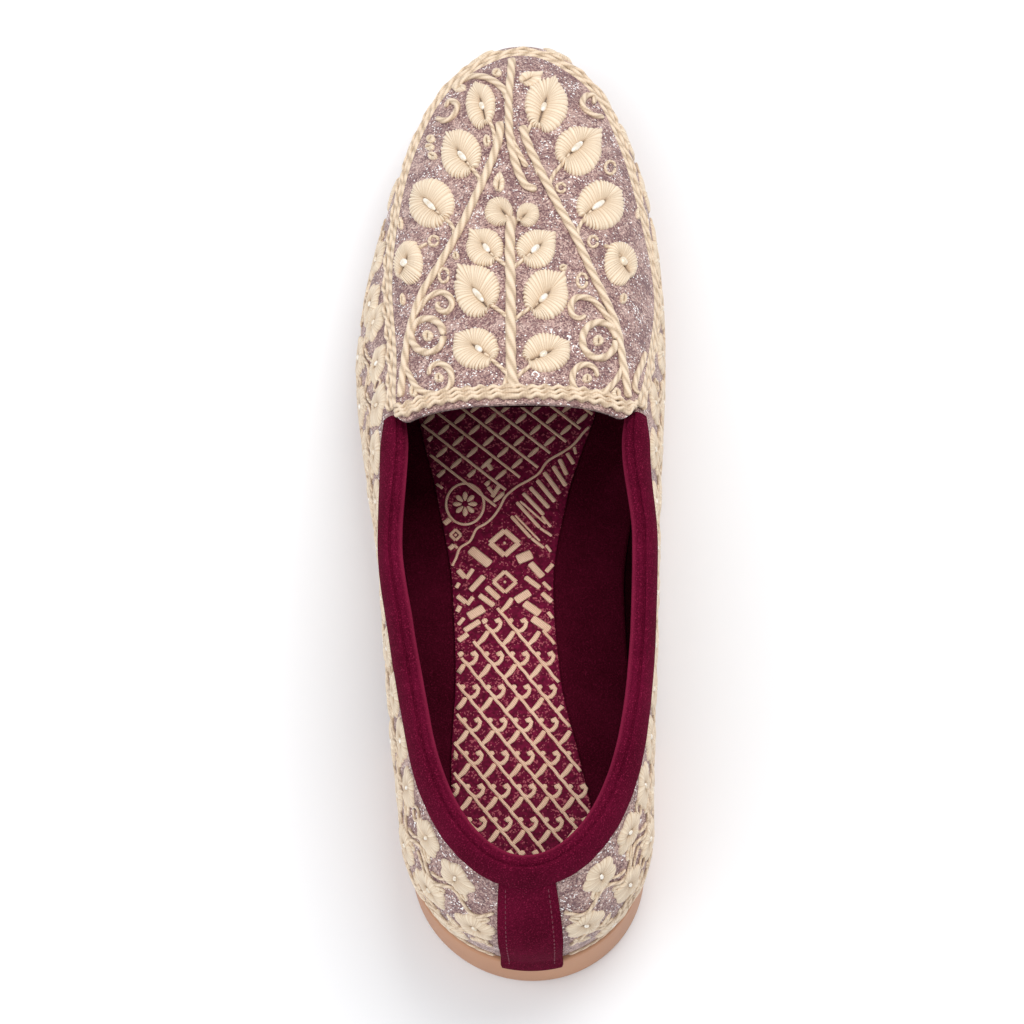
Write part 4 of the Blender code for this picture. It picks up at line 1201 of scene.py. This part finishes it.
def set_out(sign, draw):
    """Turn, share of the open cloth and angle of the tip of each blossom on one side."""
    turns, shares, tips = [], [], []
    for rows_here, row_shares in ROW_SHARES.items():
        for i, row_share in enumerate(row_shares):
            first = FIRST_BLOSSOM + (i + 1) % 2 * BLOSSOM_PITCH / 2
            far = np.arange(first, LAST_BLOSSOM, BLOSSOM_PITCH)
            turn = turn_after(far + draw.uniform(-0.0010, 0.0010, len(far)))
            turn = turn[rows_at(turn, sign)[0] == rows_here]
            turns.append(turn * sign)
            shares.append(row_share + draw.uniform(-0.02, 0.02, len(turn)))
            tips.append(np.where(row_share > 0.6, 40.0, -40.0) + draw.uniform(-70, 70, len(turn)))
    return np.concatenate(turns), np.concatenate(shares), np.radians(np.concatenate(tips))


def blossoms(sign, draw, turn, share, tip):
    """Blossoms of five lobes, each no higher than its row has room for."""
    count, room = rows_at(np.abs(turn), sign)
    high = np.minimum(BLOSSOM_HIGH, 0.47 * room / count) * draw.uniform(0.80, 1.0, len(turn))
    long = np.minimum(BLOSSOM_LONG, 1.5 * high) * draw.uniform(0.9, 1.08, len(turn))
    pointed, bead = draw.uniform(0, 0.4, len(turn)), np.zeros((len(turn), 2))
    places, rises, uv = flower_form(np.stack([long, high], axis=1), tip, pointed, bead, 30 + sign,
                                    ribs=30, each=3, teeth=0.05, lobes=0.20, slit=0.45)
    places[..., 0] *= sign
    return on_side(turn, free_reach(turn, share), places, rises * BLOSSOM_RISE), uv


def side_pearls(sign, turn, share, tip):
    places, rises = pearl_form(np.full(len(tip), SIDE_PEARL_LONG), SIDE_PEARL_WIDE, tip)
    places[..., 0] *= sign
    heights = SIDE_PEARL_SEAT + rises[None] * SIDE_PEARL_RISE
    return on_side(turn, free_reach(turn, share), places, heights), 0.0


def side_cord(turn, reach, half_width, pitch, rise=SIDE_RISE, around=8):
    return cord(turn, reach, SIDE_LIFT, half_width, rise, pitch, around=around)


def vines(sign, draw):
    """Waved vines between the rows and a cord along the sole, then turns, shares and tips of the leaves that
    grow on the vines."""
    cords, leaf_turns, leaf_shares, leaf_tips = [], [], [], []
    for rows_here, vine_shares in VINE_SHARES.items():
        far = np.arange(VINE_START, LAST_BLOSSOM, VINE_STEP)
        far = far[rows_at(turn_after(far), sign)[0] == rows_here]
        for i, vine_share in enumerate(vine_shares):
            wave = VINE_WAVE * np.sin(2 * np.pi * (far - FIRST_BLOSSOM) / BLOSSOM_PITCH + np.pi * (i + 0.5))
            vine = turn_after(far) * sign
            reach = free_reach(vine, vine_share + wave)
            cords.append(side_cord(vine, reach, VINE_HALF, VINE_PITCH, around=10))
            spots = np.arange(far[0] + 0.004, far[-1] - 0.003, BLOSSOM_PITCH / 2)
            away = np.where(np.arange(len(spots)) % 2, 1, -1)
            leaf_turns.append(turn_after(spots) * sign)
            leaf_shares.append(vine_share + np.interp(spots, far, wave) + VINE_WAVE * away)
            leaf_tips.append(np.where(away > 0, 38.0, -38.0) + draw.uniform(-12, 12, len(spots)))
    edge = turn_after(np.arange(VINE_START, LAST_BLOSSOM + 0.002, VINE_STEP)) * sign
    cords.append(side_cord(edge, free_reach(edge, 0.0) - EDGE_DROP, VINE_HALF, EDGE_PITCH))
    leaf_turn, leaf_share, leaf_tip = (np.concatenate(v) for v in (leaf_turns, leaf_shares, leaf_tips))
    return cords, leaf_turn, leaf_share, np.radians(leaf_tip)


def stalks(sign, turn, share):
    """A short stalk from each blossom to the vine that is nearest to it, where there is one. Its route is
    drawn as if the open cloth were STALK_RISE high."""
    cords = []
    for t, s, rows_here in zip(turn, share, rows_at(np.abs(turn), sign)[0]):
        if not VINE_SHARES[rows_here]:
            continue
        vine_share = min(VINE_SHARES[rows_here], key=lambda v: abs(v - s))
        route_far = float(np.interp(abs(t), wall_turns, wall_far)) + STALK_FAR
        route_share = s + (vine_share - s) * STALK_SHARE
        route = through(np.stack([route_far, route_share * STALK_RISE], axis=1), 0.0007)
        route_turn = turn_after(route[:, 0]) * sign
        cords.append(side_cord(route_turn, free_reach(route_turn, route[:, 1] / STALK_RISE), STALK_HALF,
                               STALK_PITCH))
    return cords


def rings(sign, turn, share):
    """A small ring after every third blossom."""
    cords = []
    for t, s in zip(turn[::3], share[::3]):
        middle_far = float(np.interp(abs(t), wall_turns, wall_far)) + BLOSSOM_PITCH / 2
        if middle_far > LAST_BLOSSOM - 0.004:
            continue
        ring_turn = turn_after(middle_far + RING_RADIUS * np.cos(around_ring)) * sign
        ring_reach = free_reach(turn_after(middle_far) * sign, s) + RING_RADIUS * np.sin(around_ring)
        cords.append(side_cord(ring_turn, ring_reach, STALK_HALF, STALK_PITCH, rise=SIDE_RING_RISE))
    return cords


def side_leaves(sign, turn, share, tip):
    """Narrow leaves on the vines."""
    radii, bead = np.full((len(turn), 2), LEAF_RADIUS), np.zeros((len(turn), 2))
    places, rises, uv = flower_form(radii, 0 * tip, 0 * tip + 0.8, bead, 40 + sign, ribs=10, each=3)
    long, wide = places[..., :1] * LEAF_LONG, places[..., 1:] * LEAF_WIDE
    bend, tilt = np.cos(tip)[:, None, None, None], np.sin(tip)[:, None, None, None]
    places = np.concatenate([(long * bend - wide * tilt) * sign, long * tilt + wide * bend], axis=-1)
    return on_side(turn, free_reach(turn, share), places, rises * LEAF_RISE), uv


for name, sign in (("lateral", -1), ("medial", 1)):
    draw = np.random.default_rng(20 + sign)
    turn, share, tip = set_out(sign, draw)
    piece(f"{name}_blossoms", [blossoms(sign, draw, turn, share, tip)], petals)
    piece(f"{name}_pearls", [side_pearls(sign, turn, share, tip)], pearl)
    cords, *leafy = vines(sign, draw)
    cords += stalks(sign, turn, share) + rings(sign, turn, share)
    piece(f"{name}_cords", cords, cream)
    piece(f"{name}_leaves", [side_leaves(sign, *leafy)], petals)

# The brocade's figure, woven in gold thread that stands a little over the panel: a slanted lattice with
# leaves and hooks toward the heel, another with leaves alone under the vamp, and between them a waved line,
# bars, blocks, two diamonds and a rosette in an oval ring. It is set out as the camera sees it, like the
# apron's work.
PANEL_TOP = UNDER_PANEL + 0.0008


def gold():
    """Gold-beige silk floss with the ribs of the weave."""
    floss = Finish("brocade_gold", specular_ior_level=0.3)
    where = floss.node("TexCoord", out="Object")
    ribs = {"Vector": where, "Scale": 900.0, "Distortion": 3.0}
    weft = floss.node("TexWave", {"bands_direction": "DIAGONAL"}, ribs)
    shade = weft * 0.45 + floss.noise(160.0, 2.0, where=where) * 0.55
    tone = floss.ramp(shade, (0.25, (0.78, 0.44, 0.29)), (0.7, (1.0, 0.70, 0.51)))
    floss.set(base_color=tone, roughness=0.55)
    floss.bump(weft, 0.3, 0.0002)
    return floss


def bed_plan(px):
    """Where on the panel, in plan, the camera sees pixels of the picture."""
    ways = sight(px)
    level = np.full(ways.shape[:-1], HEEL_LIFT)
    for _ in range(6):
        place = eye + ways * ((level - eye[2]) / ways[..., 2])[..., None]
        level = feather_height(place[..., 1] - CENTRED[1]) + PANEL_TOP
    return place[..., :2] - CENTRED[:2]


side_turns = np.linspace(0, 1, 400)
panel_lat, panel_med = outline("panel", -side_turns), outline("panel", side_turns)
PANEL_MARGIN = 0.0004


def on_panel(plan_places):
    x, y = plan_places[..., 0], plan_places[..., 1]
    low = np.interp(y, panel_lat[:, 1], panel_lat[:, 0], left=9.0) + PANEL_MARGIN
    high = np.interp(y, panel_med[:, 1], panel_med[:, 0], left=-9.0) - PANEL_MARGIN
    return (x > low) & (x < high) & (y < panel_med[-1, 1] - PANEL_MARGIN)


def woven(routes, half, rise=0.00022, kept=True):
    """Low ribbons, half an ellipse across, along routes of the picture's pixels; half is the half width in
    millimetres at each point, and what lies off the panel is cut away."""
    places = bed_plan(routes)
    shown = on_panel(places) & kept
    places, shown = places[shown.sum(axis=1) > 2], shown[shown.sum(axis=1) > 2]
    steps = np.arange(places.shape[1])[None, :]
    final = places.shape[1] - 1 - shown[:, ::-1].argmax(axis=1)[:, None]
    index = np.clip(steps, shown.argmax(axis=1)[:, None], final)
    tangent = np.gradient(places, axis=1)
    places, tangent = (np.take_along_axis(v, index[..., None], axis=1) for v in (places, tangent))
    tangent /= np.maximum(np.linalg.norm(tangent, axis=-1, keepdims=True), 1e-9)
    across = np.stack([tangent[..., 1], -tangent[..., 0]], axis=-1)
    half = np.broadcast_to(half, places.shape[:2]) * 1e-3 * (index == steps)
    angle = np.linspace(0, 2 * np.pi, 9)
    spread = places[:, :, None] + across[:, :, None] * (np.cos(angle)[:, None] * half[..., None, None])
    level = feather_height(spread[..., 1]) + PANEL_TOP
    level = level + rise * np.clip(np.sin(angle), -0.3, 1) * (half > 0)[..., None]
    return np.concatenate([spread, level[..., None]], axis=-1) + CENTRED, 0.0


def slanted(start, slant, run):
    """Places at distances along lines of one slant, each from its own start."""
    return np.stack([start[..., 0] + np.cos(slant) * run, start[..., 1] + np.sin(slant) * run], axis=-1)


# The lattice at the heel: its lines start from a middle one, on the left down the panel's side and on the
# right along its top. Gaps and steps are in pixels, and the half widths in millimetres.
HEEL_LATTICE_PX, HEEL_LEFT_PX, HEEL_DROP_PX = np.array([341.5, 608.3]), -12.0, 22.0
HEEL_SLANT, HEEL_GAP_PX, HEEL_ROW_PX = np.radians(50.5), 27.6, 16.6
LINE_HALF, LEAF_HALF, HOOK_HALF, THIN_HALF = 0.53, 0.80, 0.52, 0.42
figure = []
run = np.linspace(0, 400, 134)[None, :]
number = np.arange(-12, 7)[:, None]
left, right = np.maximum(-number, 0)[..., None], np.maximum(number, 0)[..., None]
start = HEEL_LATTICE_PX + left * [HEEL_LEFT_PX, HEEL_ROW_PX] + right * [HEEL_GAP_PX, 0.0]
start = start + (right > 0) * [HEEL_DROP_PX / np.tan(HEEL_SLANT), HEEL_DROP_PX]
jog = 0.2 * np.sin(run / 2.65)
routes = slanted(start, HEEL_SLANT, run) + jog[..., None] * [-1, 1]
figure.append(woven(routes, LINE_HALF))

# At each row a leaf, or in every other row a hook, stands off each line, up to the right
row = np.arange(0, 18)
level = HEEL_LATTICE_PX[1] + 4.0 + HEEL_ROW_PX * row
grid_x = start[..., 0] + (level[None, :] - start[..., 1]) / np.tan(HEEL_SLANT)
begun = level[None, :] > start[..., 1] + 2
foot = np.stack([grid_x, np.broadcast_to(level, grid_x.shape)], axis=-1)
LEAF_PX = np.array([(-1.2, 1.0), (2, -2.4), (5.5, -5.6), (8.6, -9.8), (11.0, -13.8), (11.5, -14.4)])
LEAF_SWELL = np.array([0.8, 0.85, 1.1, 1.1, 0.9, 0.0])
HOOK_PX = np.array([
    (-1.5, -1.5), (3.5, 2.6), (7.5, 1.4), (10.8, -2.2), (11.8, -6.4), (9.6, -8.6), (7.2, -7.4), (6.6, -5.8),
])
HOOK_SWELL = np.array([1.0, 1.3, 1.5, 1.3, 1.3, 2.0, 1.7, 0.0])
HORN_PX = np.array([(-6.5, -6.5), (-4.6, -7.4), (-2.8, -9.4), (-2.2, -10.6)])
HORN_SWELL = np.array([1.4, 1.8, 1.5, 0.0])
leafy = (row % 2 == 0)[None, :] & begun
hooked = (row % 2 == 1)[None, :] & begun
figure.append(woven(foot[leafy][:, None] + LEAF_PX, LEAF_HALF * LEAF_SWELL))
figure.append(woven(foot[hooked][:, None] + HOOK_PX, HOOK_HALF * HOOK_SWELL))
figure.append(woven(foot[hooked][:, None] + HORN_PX, HOOK_HALF * HORN_SWELL))

# The lattice under the vamp stops at the waved line and at the rosette's ring
WAVE_PX = (
    (440, 420), (428, 432), (418, 444), (407, 452), (392, 461), (383, 473), (373, 480), (362, 486),
    (350, 496), (344, 507), (337, 517), (329, 524), (320.5, 529), (314, 541), (304, 548), (300, 558),
    (296, 566),
)
VAMP_LATTICE_PX = np.array([282.6, 413.7])
VAMP_SLANT, VAMP_GAP_PX, VAMP_STEP_PX, VAMP_LINE_HALF = np.radians(38.0), 30.6, 18.2, 0.47
SPRIG_PX = np.array([(1.5, -1.5), (4.5, -4.2), (7.5, -6.8), (10.5, -9.6), (12.8, -12.6)])
SPRIG_HALF = 0.76 * np.array([0.5, 0.9, 1.0, 0.9, 0.0])
WAVE_CLEAR_PX, RING_CLEAR_PX = 5, 6
ROSETTE_PX, RING_PX = np.array([309.0, 504.0]), np.array([19.0, 20.5])
waved = through(WAVE_PX, 2.0)
figure.append(woven(waved[None], THIN_HALF))


def above_wave(routes):
    """Whether places lie above the waved line and outside the rosette's ring."""
    x, y = routes[..., 0], routes[..., 1]
    border = np.interp(x, waved[::-1, 0], waved[::-1, 1], left=520.0, right=400.0) - WAVE_CLEAR_PX
    apart = (((routes - ROSETTE_PX) / (RING_PX + RING_CLEAR_PX)) ** 2).sum(axis=-1)
    return (y < border) & (apart > 1)


number = np.arange(-2, 20)[:, None]
run = np.linspace(-260, 260, 200)[None, :]
start = VAMP_LATTICE_PX + (number[..., None] - 6) * [VAMP_GAP_PX, 0.0]
routes = slanted(start, VAMP_SLANT, run)
figure.append(woven(routes, VAMP_LINE_HALF, kept=above_wave(routes)))
foot = slanted(start, VAMP_SLANT, np.arange(-14, 15)[None, :] * VAMP_STEP_PX).reshape(-1, 2)
routes = foot[:, None] + SPRIG_PX
figure.append(woven(routes, SPRIG_HALF, kept=above_wave(routes)))

# Bars to the right of the waved line, and blocks below it: two ends, and the half width in pixels
BARS_PX = (
    (418, 447, 420, 454, 1.6), (411, 453, 418, 464, 2.2), (403.5, 459, 411, 475, 2.4),
    (397, 466, 410, 486, 2.4), (388, 472, 404, 494, 2.5), (381, 480, 399, 502, 2.4),
    (374, 487, 393, 508, 2.3), (367, 493, 388, 515, 2.2), (360.5, 502, 384, 528, 1.9),
    (384, 528, 396, 536, 1.6), (364, 501, 390, 524, 1.2), (355, 516, 375, 538, 1.9),
    (375, 538, 388, 548, 1.6), (359, 515, 384, 541, 1.2), (386, 516, 395, 527, 1.6),
    (390, 545, 395, 552, 1.6), (314, 549, 334, 565, 5.2), (361, 560, 376, 554, 5.6),
    (374, 563, 387, 577, 3.8), (390, 572, 397, 564, 2.4), (369, 577, 384, 588, 2.8),
    (387, 582, 395, 590, 2.0), (359.5, 601, 374, 592, 4.6), (368, 603, 384, 614, 4.4),
    (386, 593, 396, 602, 2.8), (376, 618, 394, 630, 4.2), (392, 612, 398, 620, 2.0),
    (314, 591, 328, 576, 3.2), (302, 570, 309, 578, 3.0), (310, 579, 317, 569, 2.4),
    (330, 587, 343, 599, 3.2), (323, 595, 338, 606, 3.0), (312, 617, 328, 608, 5.0),
    (301, 596, 310, 603, 2.8), (311, 605, 317, 597, 2.4), (308, 631, 324, 621, 3.2),
    (302, 641, 312, 634, 3.0), (302, 625, 308, 618, 2.2), (288, 524, 294, 519, 3.0),
    (293, 549, 298, 545, 2.6), (301, 612, 304, 606, 2.6), (300, 588, 303, 583, 2.2),
    (330, 462, 336, 470, 2.4), (336, 497, 343, 486, 2.4), (332, 487, 337, 493, 2.0),
)
bars = np.array(BARS_PX)
share = np.array([0, 0.015, 0.07, 0.2, 0.5, 0.8, 0.93, 0.985, 1])[None, :, None]
routes = bars[:, None, :2] * (1 - share) + bars[:, None, 2:4] * share
ends = np.array([0.0, 0.8, 1, 1, 1, 1, 1, 0.8, 0.0])
figure.append(woven(routes, bars[:, 4:] / PX_PER_MM * ends))

# Diamonds, each a frame with a dot: middle, half width, half height, and the frame's half width in pixels
DIAMONDS_PX = ((348.5, 543, 14.5, 12.5, 3.0), (348.8, 582, 11.5, 10.5, 2.2), (299.5, 535, 5.5, 5.5, 1.6))
for x, y, wide, tall, half in DIAMONDS_PX:
    corners = np.array([(x, y - tall), (x + wide, y), (x, y + tall), (x - wide, y), (x, y - tall)])
    share = np.linspace(0, 1, 7)[None, :, None]
    sides = corners[:-1, None] * (1 - share) + corners[1:, None] * share
    figure.append(woven(sides, half / PX_PER_MM))
    dot = np.array([(x - 1.8, y), (x - 0.6, y), (x + 0.6, y), (x + 1.8, y)])[None]
    figure.append(woven(dot, np.array([0, 0.5, 0.5, 0])))

# The rosette: eight petals and a dot in an oval ring
round_ = np.radians(np.arange(0, 361, 9))
ring = ROSETTE_PX + np.stack([np.cos(round_), np.sin(round_)], axis=1) * RING_PX
figure.append(woven(ring[None], THIN_HALF))
spoke = np.radians(np.arange(0, 360, 45))[:, None, None]
petal = np.array([3.2, 5.5, 8.5, 11.0, 12.6])[None, :, None]
petal = np.concatenate([petal * np.cos(spoke), petal * np.sin(spoke)], axis=-1) + ROSETTE_PX
figure.append(woven(petal, np.array([0.2, 0.6, 0.85, 0.65, 0.0])))
piece("brocade_figure", figure, gold())

# The floor: a plain pale sweep.
floor_look = Finish("pale_floor", base_color=(0.90, 0.905, 0.92), roughness=0.75, specular_ior_level=0.2)
floor_mesh = bpy.data.meshes.new("floor")
floor_mesh.from_pydata([(-3, -3, 0), (3, -3, 0), (3, 3, 0), (-3, 3, 0)], [], [(0, 1, 2, 3)])
floor_mesh.materials.append(floor_look.material)
floor = bpy.data.objects.new("floor", floor_mesh)
bpy.context.scene.collection.objects.link(floor)
